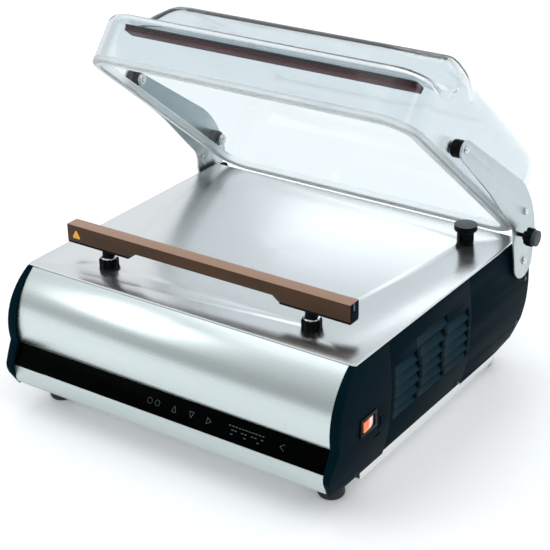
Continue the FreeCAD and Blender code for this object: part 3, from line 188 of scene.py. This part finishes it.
def clear_acrylic():
    """Clear moulded acrylic that lets the lamps through and turns blue-grey with depth.

    Shadow rays pass through it straight, so that the dome throws only a faint shadow.
    """
    n = Nodes("clear_acrylic")
    depth = n.add("VolumeAbsorption")
    depth.inputs["Color"].default_value = (0.55, 0.72, 0.80, 1.0)
    depth.inputs["Density"].default_value = 4.0
    n.join(depth.outputs["Volume"], n.output.inputs["Volume"])
    haze = n.noise(22.0, (1, 1, 1), 4.0)
    rough = n.spread(haze, 0.0, 0.025)
    wave = n.noise(7.0, (1, 1, 1), 1.0)
    glass = n.shader((0.795, 0.833, 0.848), rough, n.bump(wave, 0.05, 0.002),
                     IOR=1.36, Transmission_Weight=1.0, Specular_IOR_Level=0.30)
    lamp = n.add("LightPath")
    through = n.add("BsdfTransparent")
    through.inputs["Color"].default_value = (0.915, 0.935, 0.945, 1.0)
    mix = n.add("MixShader")
    n.join(lamp.outputs["Is Shadow Ray"], mix.inputs["Fac"])
    n.join(glass.outputs["BSDF"], mix.inputs[1])
    n.join(through.outputs["BSDF"], mix.inputs[2])
    n.join(mix.outputs["Shader"], n.output.inputs["Surface"])
    return n.material


def frosted_lip():
    """The dome's cut and flamed rim, where the acrylic scatters light."""
    n = Nodes("frosted_lip")
    haze = n.noise(240.0, (1, 1, 1), 3.0)
    cloud = n.noise(18.0, (1, 1, 1), 3.0)
    color = n.blend(n.spread(cloud, 0.0, 1.0), (0.80, 0.86, 0.88), (0.90, 0.94, 0.95))
    n.shader(color, n.spread(haze, 0.28, 0.40), n.bump(haze, 0.06, 0.0002), IOR=1.49,
             Transmission_Weight=0.75)
    return n.material


def woven_tape():
    """Brown non-stick tape: a fine plain weave under a waxy skin, with painted light on top: faces
    that point up are painted paler.
    """
    n = Nodes("woven_tape")
    warp = n.add("TexWave", wave_type="BANDS", bands_direction="X")
    weft = n.add("TexWave", wave_type="BANDS", bands_direction="Z")
    for wave in (warp, weft):
        wave.inputs["Scale"].default_value = 180.0
        wave.inputs["Distortion"].default_value = 0.4
        n.join(n.position(), wave.inputs["Vector"])
    weave = n.blend(0.5, warp.outputs["Color"], weft.outputs["Color"], "MULTIPLY")
    stain = n.noise(26.0, (0.3, 1, 1), 5.0)
    color = n.blend(n.spread(stain, 0.0, 1.0), (0.060, 0.029, 0.014), (0.088, 0.045, 0.023))
    # painted highlight: faces that point up are blended towards a pale tan, as if lit from above
    up = n.add("NewGeometry")
    split = n.add("SeparateXYZ")
    n.join(up.outputs["Normal"], split.inputs["Vector"])
    top = n.spread(split.outputs["Z"], 0.0, 1.0, 0.35, 0.8)
    color = n.blend(top, color, (0.38, 0.235, 0.165))
    color = n.blend(n.spread(weave, 0.12, 0.0, 0.0, 1.0), color, (0.02, 0.012, 0.008))
    n.shader(color, n.spread(stain, 0.36, 0.50), n.bump(weave, 0.10, 0.0002),
             Specular_IOR_Level=0.15)
    return n.material


def lit_rocker():
    """The lit rocker: orange on its front half, pale pink on its pressed half."""
    n = Nodes("lit_rocker")
    split = n.add("SeparateXYZ")
    n.join(n.position(), split.inputs["Vector"])
    middle = (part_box("switch_rocker")[0].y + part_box("switch_rocker")[1].y) / 2
    side = n.spread(split.outputs["Y"], 0.0, 1.0, middle - 0.001, middle + 0.001)
    glow = n.noise(60.0, (1, 1, 1), 2.0)
    orange = n.blend(n.spread(glow, 0.0, 1.0), (0.85, 0.11, 0.02), (0.95, 0.26, 0.07))
    pink = n.blend(n.spread(glow, 0.0, 1.0), (0.90, 0.50, 0.44), (0.95, 0.72, 0.66))
    color = n.blend(side, orange, pink)
    node = n.shader(color, n.spread(glow, 0.16, 0.24), None, Coat_Weight=0.4)
    n.join(color, node.inputs["Emission Color"])
    node.inputs["Emission Strength"].default_value = 0.35
    return n.material


def pale_floor():
    """A nearly white floor with a faint light of its own, as a lit studio sweep has."""
    n = Nodes("pale_floor")
    cloud = n.noise(1.5, (1, 1, 1), 2.0)
    color = n.blend(n.spread(cloud, 0.0, 1.0), (0.90, 0.91, 0.91), (0.92, 0.93, 0.93))
    node = n.shader(color, 0.55, None)
    node.inputs["Emission Color"].default_value = (0.97, 0.99, 1.0, 1.0)
    node.inputs["Emission Strength"].default_value = 0.12
    return n.material


M = {
    "plate": brushed_steel("plate_steel", (0.70, 0.71, 0.715), 0.25, 0.25),
    "band": brushed_steel("band_steel", (0.635, 0.70, 0.695), 0.28, 0.35),
    "skirt": brushed_steel("skirt_steel", (0.54, 0.60, 0.595), 0.32, 0.6),
    "tray": brushed_steel("tray_steel", (0.97, 0.98, 0.98), 0.30),
    "arm": satin_metal("arm_steel", (0.56, 0.62, 0.64), 0.38),
    "chrome": satin_metal("plated_steel", (0.70, 0.71, 0.72), 0.16),
    "dark_screw": satin_metal("blacked_steel", (0.05, 0.05, 0.055), 0.35),
    "frame": satin_metal("zinc_frame", (0.40, 0.41, 0.42), 0.42),
    "aluminium": satin_metal("cast_aluminium", (0.55, 0.56, 0.57), 0.38),
    "copper": satin_metal("enamelled_copper", (0.45, 0.20, 0.08), 0.32),
    "brass": satin_metal("plain_brass", (0.60, 0.43, 0.18), 0.28),
    "side": plastic("side_plastic", (0.0008, 0.0075, 0.0120), 0.42, 1500.0, 0.08, 0.01),
    # painted light: a lighter copy of side_plastic for the vent floors that face up, as if lit
    # from above
    "louvre": plastic("louvre_plastic_painted_lit", (0.004, 0.020, 0.032), 0.40, 1500.0, 0.08, 0.06),
    "black": plastic("black_plastic", (0.0010, 0.0014, 0.0017), 0.36, 900.0, 0.10, 0.07),
    "gloss": plastic("black_gloss", (0.0006, 0.0008, 0.0009), 0.25, 300.0, 0.01, 0.008),
    "board": plastic("board_green", (0.01, 0.08, 0.03), 0.30),
    "rubber": plastic("foot_rubber", (0.012, 0.012, 0.013), 0.62, 700.0, 0.25),
    "silicone": plastic("clear_silicone", (0.55, 0.58, 0.58), 0.35, 500.0, 0.10),
    "red": plastic("dark_red_silicone", (0.050, 0.0010, 0.007), 0.34, 600.0, 0.12, 0.05),
    "cap": plastic("knob_cap", (0.030, 0.045, 0.045), 0.40, 900.0, 0.1, 0.2),
    # painted sheen: a paler copy of black plastic for the nozzle's upward-facing top
    "pale": plastic("nozzle_top_painted_sheen", (0.045, 0.055, 0.062), 0.38, 900.0, 0.1, 0.2),
    "mark": plastic("panel_marks", (0.055, 0.075, 0.062), 0.5),
    "amber": plastic("amber_sticker", (0.80, 0.33, 0.02), 0.38),
    "bead": plastic("tan_insulator", (0.30, 0.20, 0.12), 0.45),
    "pump": plastic("pump_paint", (0.12, 0.13, 0.14), 0.45),
    "acrylic": clear_acrylic(),
    "lip": frosted_lip(),
    "tape": woven_tape(),
    "rocker": lit_rocker(),
}

# Which material each CAD node wears. The pieces that replace nodes take it over.
NODE_LOOKS = {
    "plate": ("top_plate",),
    "band": ("front_panel",),
    "skirt": ("front_skirt", "rear_panel"),
    "tray": ("base_tray",),
    "arm": ("lid_arm_left", "lid_arm_right"),
    "chrome": ("hinge_shaft", "pivot_screws", "lid_springs", "arm_screws", "arm_nuts",
               "arm_stay_screw", "lift_rods", "foot_screws", "heating_strip"),
    "dark_screw": ("cover_screws",),
    "frame": ("frame_side_left", "frame_side_right", "frame_cross", "transformer_core"),
    "aluminium": ("lift_cylinders", "pump_motor", "seal_bar_core"),
    "copper": ("transformer_coil",),
    "brass": ("inlet_blades", "solenoid_valve"),
    "side": ("front_cheek_left", "front_cheek_right", "vent_panel_left", "vent_panel_right",
             "rear_cheek_left", "rear_cheek_right"),
    "black": ("power_inlet", "hinge_bush_left", "hinge_bush_right", "arm_spacers",
              "knob_right", "counter_bar_holder", "bar_foot_left",
              "bar_foot_right", "guide_sleeves", "bar_nuts", "suction_nozzle",
              "switch_housing", "motor_fan", "suction_hose"),
    "gloss": ("control_panel",),
    "board": ("control_board",),
    "rubber": ("foot_front_left", "foot_front_right", "foot_rear_left", "foot_rear_right"),
    "silicone": ("lid_gasket",),
    "red": ("counter_bar_strip",),
    "bead": ("wire_carrier",),
    "pump": ("vacuum_pump",),
    "acrylic": ("lid_dome",),
    "tape": ("bar_tape",),
    "rocker": ("switch_rocker",),
}


def dress(obj, *materials):
    obj.data.materials.clear()
    for material in materials:
        obj.data.materials.append(material)


def dress_nodes():
    """Put its material on every CAD node."""
    for look, names in NODE_LOOKS.items():
        for name in names:
            dress(frame["nodes"][name], M[look])


BODY_OF = {node: body for body, members in frame["record"]["behaviour"]["bodies"].items()
           for node in members}


# ---------------------------------------------------------------- shaping helpers

# Points closer than this are one point, and faces closer in angle than this are one face.
SAME_POINT = 0.000004
FLAT_ANGLE = math.radians(0.6)
# Edges that get rolled over, and edges that stay crisp in the shading.
SHARP_ANGLE = math.radians(28.0)
CREASE_ANGLE = math.radians(40.0)


def new_object(name, mesh):
    obj = bpy.data.objects.new(name, mesh)
    bpy.context.scene.collection.objects.link(obj)
    return obj


def object_from(name, points, faces):
    mesh = bpy.data.meshes.new(name)
    mesh.from_pydata([tuple(p) for p in points], [], faces)
    mesh.update()
    return new_object(name, mesh)


def smooth(obj):
    """Smooth shading that keeps the sharp creases."""
    shape = bmesh.new()
    shape.from_mesh(obj.data)
    for face in shape.faces:
        face.smooth = True
    for edge in shape.edges:
        edge.smooth = len(edge.link_faces) == 2 and edge.calc_face_angle(0.0) < CREASE_ANGLE
    shape.to_mesh(obj.data)
    shape.free()


def softened(node, width, segments=2, wide=None, choose=None):
    """A copy of a CAD node with its sharp edges rolled over, standing for the node.

    Edges that choose picks out are rolled to the wide radius.
    """
    source = frame["nodes"][node]
    shape = bmesh.new()
    shape.from_mesh(source.data)
    bmesh.ops.remove_doubles(shape, verts=shape.verts, dist=SAME_POINT)
    bmesh.ops.dissolve_limit(shape, angle_limit=FLAT_ANGLE, verts=shape.verts,
                             edges=shape.edges)
    widest = wide or width
    weights = shape.edges.layers.float.new("bevel_weight_edge")
    for edge in shape.edges:
        if len(edge.link_faces) != 2 or edge.calc_face_angle(0.0) < SHARP_ANGLE:
            continue
        edge[weights] = 1.0 if choose is not None and choose(edge) else width / widest
    mesh = bpy.data.meshes.new(node + "_soft")
    shape.to_mesh(mesh)
    shape.free()
    obj = new_object(node + "_soft", mesh)
    bevel = obj.modifiers.new("roll", "BEVEL")
    bevel.limit_method = "WEIGHT"
    bevel.width = widest
    bevel.segments = segments
    bevel.use_clamp_overlap = True
    bevel.harden_normals = False
    apply_modifiers(obj)
    smooth(obj)
    dress(obj, *source.data.materials)
    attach(obj, BODY_OF[node])
    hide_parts(node)
    return obj


def apply_modifiers(obj):
    """Replace the mesh with what its modifiers make of it."""
    bpy.context.view_layer.update()
    graph = bpy.context.evaluated_depsgraph_get()
    mesh = bpy.data.meshes.new_from_object(obj.evaluated_get(graph))
    obj.modifiers.clear()
    obj.data = mesh


def paint_faces(obj, material, choose):
    """Give the faces that choose picks out another material."""
    obj.data.materials.append(material)
    index = len(obj.data.materials) - 1
    for face in obj.data.polygons:
        if choose(face):
            face.material_index = index


def to_open(point):
    """Carry a point from the closed dome's frame to where the open dome holds it."""
    cosine, sine = math.cos(LID_ANGLE), math.sin(LID_ANGLE)
    return Vector((MIDDLE + point.x, PIVOT.y + point.y * cosine + point.z * sine,
                   PIVOT.z - point.y * sine + point.z * cosine))


# ---------------------------------------------------------------- the dome

# The closed dome, measured from the hinge axis.
DOME_HALF = 0.228
DOME_FRONT = -0.378
DOME_REAR = 0.004
DOME_CORNER = 0.042
ROOF_CORNER = 0.024
LOW_Z = 0.096
HIGH_Z = 0.1555
CROWN_RISE = 0.0015
CROWN_LENGTH = 0.25
WALL = 0.008
ROOF = 0.0045

# The rim, with the groove that holds the gasket.
RIM_Z = 0.030
LIP_TOP_Z = 0.038
LIP_WIDTH = 0.016
LIP_ROUND = 0.001
GROOVE_OUTER = 0.0049
GROOVE_INNER = 0.0111
GROOVE_DEPTH = 0.0016

# How far behind the front wall the roof climbs from the low front to the crown.
STEP_START = 0.050
STEP_END = 0.118

# The roll from wall to roof, as its reach across and its drop, and where it widens.
FRONT_SHOULDER = 0.013
SIDE_SHOULDER = (0.077, 0.054)
REAR_SHOULDER = 0.056
TIGHTEST_SHOULDER = 0.006
SHOULDER_START = 0.040
SHOULDER_LENGTH = 0.115
SHOULDER_REACH = 0.078


def ease(t):
    """A smooth rise from 0 to 1 as t goes from 0 to 1."""
    t = min(1.0, max(0.0, t))
    return t * t * t * (t * (6 * t - 15) + 10)


def dome_height(y, drop):
    """The roof's height at y: a low front, a step up, and a slightly arched crown."""
    back = y - DOME_FRONT
    rise = ease((back - STEP_START) / (STEP_END - STEP_START))
    along = min(1.0, max(0.0, (back - STEP_END) / CROWN_LENGTH))
    crown = CROWN_RISE * math.sin(math.pi * along)
    return LOW_Z + (HIGH_Z - LOW_Z - CROWN_RISE) * rise + crown - drop


def dome_outline(inset):
    """Points and inward directions round the dome's plan outline, from the front left."""
    along, across, corner_steps = 44, 26, 12
    half = DOME_HALF - inset
    front, rear = DOME_FRONT + inset, DOME_REAR - inset
    radius = max(ROOF_CORNER, DOME_CORNER - inset)
    ring = []

    def straight(start, end, inward, count):
        for step in range(count):
            ring.append((start.lerp(end, step / count), inward))

    def corner(centre, first):
        for step in range(corner_steps):
            angle = math.radians(first + 90 * step / corner_steps)
            out = Vector((math.cos(angle), math.sin(angle), 0))
            ring.append((centre + out * radius, -out))

    x, y0, y1 = half - radius, front + radius, rear - radius
    straight(Vector((-x, front, 0)), Vector((x, front, 0)), Vector((0, 1, 0)), across)
    corner(Vector((x, y0, 0)), -90)
    straight(Vector((half, y0, 0)), Vector((half, y1, 0)), Vector((-1, 0, 0)), along)
    corner(Vector((x, y1, 0)), 0)
    straight(Vector((x, rear, 0)), Vector((-x, rear, 0)), Vector((0, -1, 0)), across)
    corner(Vector((-x, y1, 0)), 90)
    straight(Vector((-half, y1, 0)), Vector((-half, y0, 0)), Vector((1, 0, 0)), along)
    corner(Vector((-x, y0, 0)), 180)
    return ring


def shoulder(point, inward):
    """How far the wall rolls into the roof, as its reach across and its drop.

    It is tight at the low front, and wide round the crown and the rear.
    """
    crown = ease((point.y - DOME_FRONT - SHOULDER_START) / SHOULDER_LENGTH)
    side = [FRONT_SHOULDER + (size - FRONT_SHOULDER) * crown for size in SIDE_SHOULDER]
    rear = max(0.0, -inward.y) ** 2
    return [size * (1 - rear) + REAR_SHOULDER * rear for size in side]


def shoulder_ring(inset, drop, further):
    """The ring that lies further in than a skin's wall, at its height on the shoulder."""
    ring = []
    inner_share = 0.6
    for (point, inward), (foot, _) in zip(dome_outline(inset + further), dome_outline(inset)):
        across, fall = (max(TIGHTEST_SHOULDER, size - inset * inner_share)
                        for size in shoulder(foot, inward))
        part = min(1.0, further / across)
        z = dome_height(point.y, drop) - fall * (1 - math.sqrt(1 - (1 - part) ** 2))
        ring.append(Vector((point.x, point.y, z)))
    return ring


def crown_rings(edge, drop):
    """Rings that close the roof from the shoulder's inner edge to a short middle ridge."""
    steps = 40
    ridge_share, ridge_half = 0.2, 0.045
    middle = (DOME_FRONT + DOME_REAR) / 2
    rings = []
    for step in range(1, steps + 1):
        ring = []
        for point in edge:
            x = max(-ridge_half, min(ridge_half, point.x * ridge_share))
            place = point.lerp(Vector((x, middle, 0)), step / steps)
            ring.append(Vector((place.x, place.y, dome_height(place.y, drop))))
        rings.append(ring)
    return rings


def dome_skin(inset, drop, start):
    """Rings of one skin of the dome, from height start up its wall and over its roof."""
    walls, bends = 9, 26
    reach = SHOULDER_REACH - inset
    foot = shoulder_ring(inset, drop, 0.0)
    rings = []
    for step in range(walls):
        part = step / walls
        rings.append([Vector((p.x, p.y, start + (p.z - start) * part)) for p in foot])
    for step in range(bends + 1):
        rings.append(shoulder_ring(inset, drop, reach * (step / bends) ** 2))
    return rings + crown_rings(rings[-1], drop)


def flat_ring(inset, z):
    return [Vector((p.x, p.y, z)) for p, _ in dome_outline(inset)]


def lip_rings():
    """Rings down the rim, across its gasket groove and up its inner side."""
    profile = [
        (LIP_ROUND, RIM_Z),
        (GROOVE_OUTER, RIM_Z),
        (GROOVE_OUTER, RIM_Z + GROOVE_DEPTH),
        (GROOVE_INNER, RIM_Z + GROOVE_DEPTH),
        (GROOVE_INNER, RIM_Z),
        (LIP_WIDTH - LIP_ROUND, RIM_Z),
        (LIP_WIDTH, RIM_Z + LIP_ROUND),
        (LIP_WIDTH, LIP_TOP_Z - LIP_ROUND),
        (LIP_WIDTH - LIP_ROUND, LIP_TOP_Z),
    ]
    return [flat_ring(inset, z) for inset, z in profile]


def joined_rings(name, rings):
    """A mesh of quads between rings that all have the same number of points."""
    count = len(rings[0])
    points = [to_open(point) for ring in rings for point in ring]
    faces = []
    for level in range(len(rings) - 1):
        for index in range(count):
            after = (index + 1) % count
            low, high = level * count, (level + 1) * count
            faces.append((low + index, low + after, high + after, high + index))
    return object_from(name, points, faces)


def weld(obj, ring_size):
    """Close the skin: merge each end ring into a ridge, and face all normals outwards."""
    shape = bmesh.new()
    shape.from_mesh(obj.data)
    last = len(shape.verts) - ring_size
    ridges = [vert for vert in shape.verts if vert.index < ring_size or vert.index >= last]
    bmesh.ops.remove_doubles(shape, verts=ridges, dist=0.0015)
    bmesh.ops.remove_doubles(shape, verts=shape.verts, dist=0.00002)
    bmesh.ops.holes_fill(shape, edges=shape.edges, sides=0)
    bmesh.ops.recalc_face_normals(shape, faces=shape.faces)
    shape.to_mesh(obj.data)
    shape.free()


def make_dome():
    """The clear dome as one closed skin: outside, lip, gasket groove and inside."""
    outside = dome_skin(0.0, 0.0, RIM_Z + LIP_ROUND)
    inside = dome_skin(WALL, ROOF, LIP_TOP_Z)
    lip = lip_rings()
    rings = outside[::-1] + lip + inside
    frosted = range(len(outside) - 2, len(outside) + len(lip))
    ring_size = len(rings[0])
    dome = joined_rings("dome_shell", rings)
    for face in dome.data.polygons:
        face.material_index = 1 if face.index // ring_size in frosted else 0
    weld(dome, ring_size)
    smooth(dome)
    dome.data.materials.append(M["acrylic"])
    dome.data.materials.append(M["lip"])
    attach(dome, "lid")
    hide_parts("lid_dome")


# ---------------------------------------------------------------- softened pieces

SIDE_STRIP = 0.012
NOSE_DEPTH = 0.004
HEEL_START = 0.372


def make_covers():
    for side in ("left", "right"):
        softened("front_cheek_" + side, 0.0006, 5, 0.007, nose_edge)
        vents = softened("vent_panel_" + side, 0.0004)
        # painted light: the vent floors that face up are painted lighter than the rest of the
        # panel
        paint_faces(vents, M["louvre"], painted_lit_louvre_floor)
        softened("rear_cheek_" + side, 0.0006, 5, 0.006, heel_edge)


def painted_lit_louvre_floor(face):
    """The sloping floor of a vent, which faces up and out and is painted lighter than its panel as
    painted light.
    """
    return face.normal.z > 0.12 and abs(face.normal.x) > 0.3 and face.area < 0.0012


def nose_edge(edge):
    """The long edge between a front cheek's nose and its outer face."""
    middle = (edge.verts[0].co + edge.verts[1].co) / 2
    outer = abs(middle.x - MIDDLE) > HALF - SIDE_STRIP
    return outer and middle.y < PLATE_FRONT + NOSE_DEPTH


def heel_edge(edge):
    """The edge between a rear cheek's back and its outer face."""
    middle = (edge.verts[0].co + edge.verts[1].co) / 2
    outer = abs(middle.x - MIDDLE) > HALF - SIDE_STRIP
    return outer and middle.y > PLATE_FRONT + HEEL_START


def make_metalwork():
    softened("top_plate", 0.0005)
    softened("front_panel", 0.0003)
    softened("front_skirt", 0.0003)
    softened("base_tray", 0.0005)
    for name in ("lid_arm_left", "lid_arm_right", "pivot_screws", "arm_screws"):
        softened(name, 0.0006)
    softened("arm_nuts", 0.0004)


def make_small_parts():
    softened("arm_spacers", 0.0008)
    softened("control_panel", 0.0004)
    softened("counter_bar_holder", 0.0006)
    softened("counter_bar_strip", 0.0008, 3)
    softened("switch_housing", 0.0008, 3)
    softened("switch_rocker", 0.0007, 3)
    softened("power_inlet", 0.0006)
    softened("guide_sleeves", 0.0007, 3)
    make_bar_nuts()
    for end in ("front", "rear"):
        for side in ("left", "right"):
            softened("foot_%s_%s" % (end, side), 0.001, 3)
    make_nozzle()
    make_knob()
    softened("arm_stay_screw", 0.0005)


def make_bar_nuts():
    """The black hand nuts, each on a bright plated flange."""
    nuts = softened("bar_nuts", 0.0007, 3)
    flange_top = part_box("bar_nuts")[0].z + 0.0027
    paint_faces(nuts, M["chrome"], lambda face: face.center.z < flange_top)


def make_nozzle():
    """The black nozzle, with a painted sheen on its top: the flat faces that point up are painted
    paler.
    """
    nozzle = softened("suction_nozzle", 0.0010, 3)
    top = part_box("suction_nozzle")[1].z - 0.0004
    # painted sheen: the flat top faces that point up get the paler material
    paint_faces(nozzle, M["pale"], lambda face: face.center.z > top and face.normal.z > 0.9)


def make_knob():
    """The lobed black knob, with a paler cap."""
    knob = softened("knob_right", 0.0008, 3)
    cap_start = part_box("knob_right")[1].x - 0.0048
    paint_faces(knob, M["cap"], lambda face: face.center.x > cap_start)


def make_bar():
    """The sealing bar, whose core shows dark at its two cut ends."""
    softened("bar_tape", 0.0009, 3)
    softened("bar_foot_left", 0.0004)
    softened("bar_foot_right", 0.0004)
    core = softened("seal_bar_core", 0.0004)
    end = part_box("seal_bar_core")[1].x - MIDDLE - 0.0006
    paint_faces(core, M["side"], lambda face: abs(face.center.x - MIDDLE) > end)


# ---------------------------------------------------------------- touch panel marks

MARK_LIFT = 0.00012
MARK_MIDDLE = 0.5
STRIP_OUT = Vector((0, -0.872, 0.489))
STRIP_TOP_SET_BACK = 0.034
STRIP_BOTTOM_DROP = 0.116


def strip_place(x, along):
    """A point on the touch panel, along from its top edge (0) to its bottom edge (1)."""
    low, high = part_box("control_panel")
    top = Vector((MIDDLE + x, PLATE_FRONT - STRIP_TOP_SET_BACK, high.z))
    bottom = Vector((MIDDLE + x, low.y, PLATE_TOP - STRIP_BOTTOM_DROP))
    return top.lerp(bottom, along) + STRIP_OUT * MARK_LIFT


def ribbon(name, lines, width):
    """Thin raised strokes on the touch panel, each a list of (x, along) points in order."""
    points, faces = [], []
    slope = (strip_place(0, 1) - strip_place(0, 0)).length
    for line in lines:
        for start, end in zip(line, line[1:]):
            run = Vector((end[0] - start[0], (end[1] - start[1]) * slope, 0)).normalized()
            side = (-run.y * width / 2, run.x * width / 2 / slope)
            base = len(points)
            for place, sign in ((start, 1), (start, -1), (end, -1), (end, 1)):
                points.append(strip_place(place[0] + side[0] * sign, place[1] + side[1] * sign))
            faces.append((base, base + 1, base + 2, base + 3))
    obj = object_from(name, points, faces)
    dress(obj, M["mark"])
    thick = obj.modifiers.new("thick", "SOLIDIFY")
    thick.thickness = 0.0001
    apply_modifiers(obj)
    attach(obj, "base")


def upright_arrow(x, half, tall):
    """A closed triangle standing on the middle line, or hanging where tall is negative."""
    left, right = x - half, x + half
    base, tip = MARK_MIDDLE + tall, MARK_MIDDLE - tall
    return [(left, base), (x, tip), (right, base), (left, base)]


def level_bars():
    """Three rows of short dashes, the lower rows with gaps."""
    first, pitch, length = 0.094, 0.0045, 0.003
    bars = []
    for column in range(11):
        x = first + column * pitch
        bars.append([(x, 0.36), (x + length, 0.36)])
        if column % 3:
            bars.append([(x, 0.52), (x + length, 0.52)])
        if column % 4 == 1:
            bars.append([(x, 0.68), (x + length, 0.68)])
    return bars


def ring_line(x):
    """A closed ring on the panel's middle line."""
    wide, tall, corners = 0.0034, 0.12, 20
    angles = [math.tau * corner / corners for corner in range(corners + 1)]
    return [(x + wide * math.cos(a), MARK_MIDDLE + tall * math.sin(a)) for a in angles]


def make_panel_marks():
    """Plain arrows, a pair of rings and level bars in place of the real printed marks."""
    half, tall = 0.0032, 0.13
    stroke = 0.0005
    top, bottom = MARK_MIDDLE - tall, MARK_MIDDLE + tall
    right_base, right_tip = 0.064, 0.070
    left_base, left_tip = 0.170, 0.164
    ribbon("mark_up", [upright_arrow(0.0175, half, tall)], stroke)
    ribbon("mark_down", [upright_arrow(0.042, half, -tall)], stroke)
    ribbon("mark_right", [[(right_base, top), (right_tip, MARK_MIDDLE), (right_base, bottom),
                           (right_base, top)]], stroke)
    ribbon("mark_left", [[(left_base, top), (left_tip, MARK_MIDDLE), (left_base, bottom)]], stroke)
    ribbon("mark_levels", level_bars(), 0.0009)
    ribbon("mark_rings", [ring_line(-0.018), ring_line(-0.007)], 0.0004)


def make_warning_triangle():
    """A plain amber triangle at the left end of the bar's front face."""
    side, cut, lift, thickness = 0.0135, 0.14, 0.00012, 0.0004
    from_end, below_middle, height_share = 0.014, 0.0062, 0.87
    low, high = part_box("bar_tape")
    x, y = low.x + from_end, low.y - lift
    z = (low.z + high.z) / 2 - below_middle
    corners = [Vector((x - side / 2, y, z)), Vector((x + side / 2, y, z)),
               Vector((x, y, z + side * height_share))]
    front = []
    for index, corner in enumerate(corners):
        for other in (corners[index - 1], corners[(index + 1) % 3]):
            front.append(corner.lerp(other, cut))
    back = [point + Vector((0, thickness, 0)) for point in front]
    count = len(front)
    faces = [tuple(range(count)), tuple(range(2 * count - 1, count - 1, -1))]
    faces += [(i, i + count, (i + 1) % count + count, (i + 1) % count) for i in range(count)]
    obj = object_from("amber_triangle", front + back, faces)
    dress(obj, M["amber"])
    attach(obj, "seal_bar")


# ---------------------------------------------------------------- stage

def look_from(place, yaw, pitch, roll):
    """A camera matrix from its place and its angles in degrees."""
    yaw, pitch, roll = (math.radians(a) for a in (yaw, pitch, roll))
    forward = Vector((math.sin(yaw) * math.cos(pitch), math.cos(yaw) * math.cos(pitch),
                      -math.sin(pitch)))
    right = Vector((math.cos(yaw), -math.sin(yaw), 0))
    up = right.cross(forward)
    side = right * math.cos(roll) + up * math.sin(roll)
    top = up * math.cos(roll) - right * math.sin(roll)
    turn = Matrix((side, top, -forward)).transposed()
    return Matrix.Translation(place) @ turn.to_4x4()


def make_camera():
    """A long lens at the machine's front right, looking down on it."""
    place = Vector((MIDDLE + 0.9779, -1.4185, 0.9787))
    data = bpy.data.cameras.new("camera")
    data.sensor_width = 36.0
    data.lens = 100.07
    data.clip_end = 100.0
    camera = bpy.data.objects.new("camera", data)
    camera.matrix_world = look_from(place, -34.89, 25.98, -0.98)
    bpy.context.scene.collection.objects.link(camera)
    bpy.context.scene.camera = camera


def softbox(name, place, target, size, power):
    data = bpy.data.lights.new(name, "AREA")
    data.shape = "RECTANGLE"
    data.size, data.size_y = size
    data.energy = power
    light = bpy.data.objects.new(name, data)
    light.location = place
    light.rotation_euler = (Vector(target) - Vector(place)).to_track_quat("-Z", "Y").to_euler()
    bpy.context.scene.collection.objects.link(light)


def make_lamps():
    softbox("overhead", (-0.25, -0.1, 2.5), (0, 0, 0.1), (2.6, 2.6), 13)
    softbox("right", (2.6, 0.2, 2.0), (0.7, 0, 0), (1.4, 1.4), 14)
    softbox("front_left", (-1.8, -1.6, 1.5), (0, 0, 0.15), (1.2, 1.2), 8)
    softbox("rear", (-0.4, 2.6, 1.8), (0, 0, 0.2), (2.0, 0.9), 7)


def make_floor():
    size = 40.0
    corners = [(-size, -size, 0), (size, -size, 0), (size, size, 0), (-size, size, 0)]
    floor = object_from("floor", corners, [(0, 1, 2, 3)])
    dress(floor, pale_floor())


def make_world():
    """A plain studio sky, brightest overhead and behind, dimmer to the machine's right."""
    world = bpy.data.worlds.new("studio")
    bpy.context.scene.world = world
    world.use_nodes = True
    nodes, links = world.node_tree.nodes, world.node_tree.links
    nodes.clear()

    def range_of(source, from_min, from_max, to_min, to_max):
        node = nodes.new("ShaderNodeMapRange")
        node.inputs["From Min"].default_value = from_min
        node.inputs["From Max"].default_value = from_max
        node.inputs["To Min"].default_value = to_min
        node.inputs["To Max"].default_value = to_max
        links.new(source, node.inputs["Value"])
        return node.outputs["Result"]

    place = nodes.new("ShaderNodeTexCoord")
    split = nodes.new("ShaderNodeSeparateXYZ")
    links.new(place.outputs["Generated"], split.inputs["Vector"])
    lean = nodes.new("ShaderNodeMath")
    lean.operation = "MULTIPLY_ADD"
    links.new(split.outputs["Y"], lean.inputs[0])
    lean.inputs[1].default_value = 0.6
    links.new(split.outputs["Z"], lean.inputs[2])
    product = nodes.new("ShaderNodeMath")
    product.operation = "MULTIPLY"
    links.new(range_of(lean.outputs["Value"], -0.4, 0.7, 0.46, 1.06), product.inputs[0])
    links.new(range_of(split.outputs["X"], 0.35, 0.80, 1.0, 0.40), product.inputs[1])
    background = nodes.new("ShaderNodeBackground")
    background.inputs["Color"].default_value = (0.95, 0.98, 1.0, 1.0)
    links.new(product.outputs["Value"], background.inputs["Strength"])
    out = nodes.new("ShaderNodeOutputWorld")
    links.new(background.outputs["Background"], out.inputs["Surface"])


def make_stage():
    make_floor()
    make_world()
    make_lamps()
    bpy.context.scene.view_settings.view_transform = "Standard"


dress_nodes()
make_dome()
make_covers()
make_metalwork()
make_small_parts()
make_bar()
make_panel_marks()
make_warning_triangle()
make_camera()
make_stage()
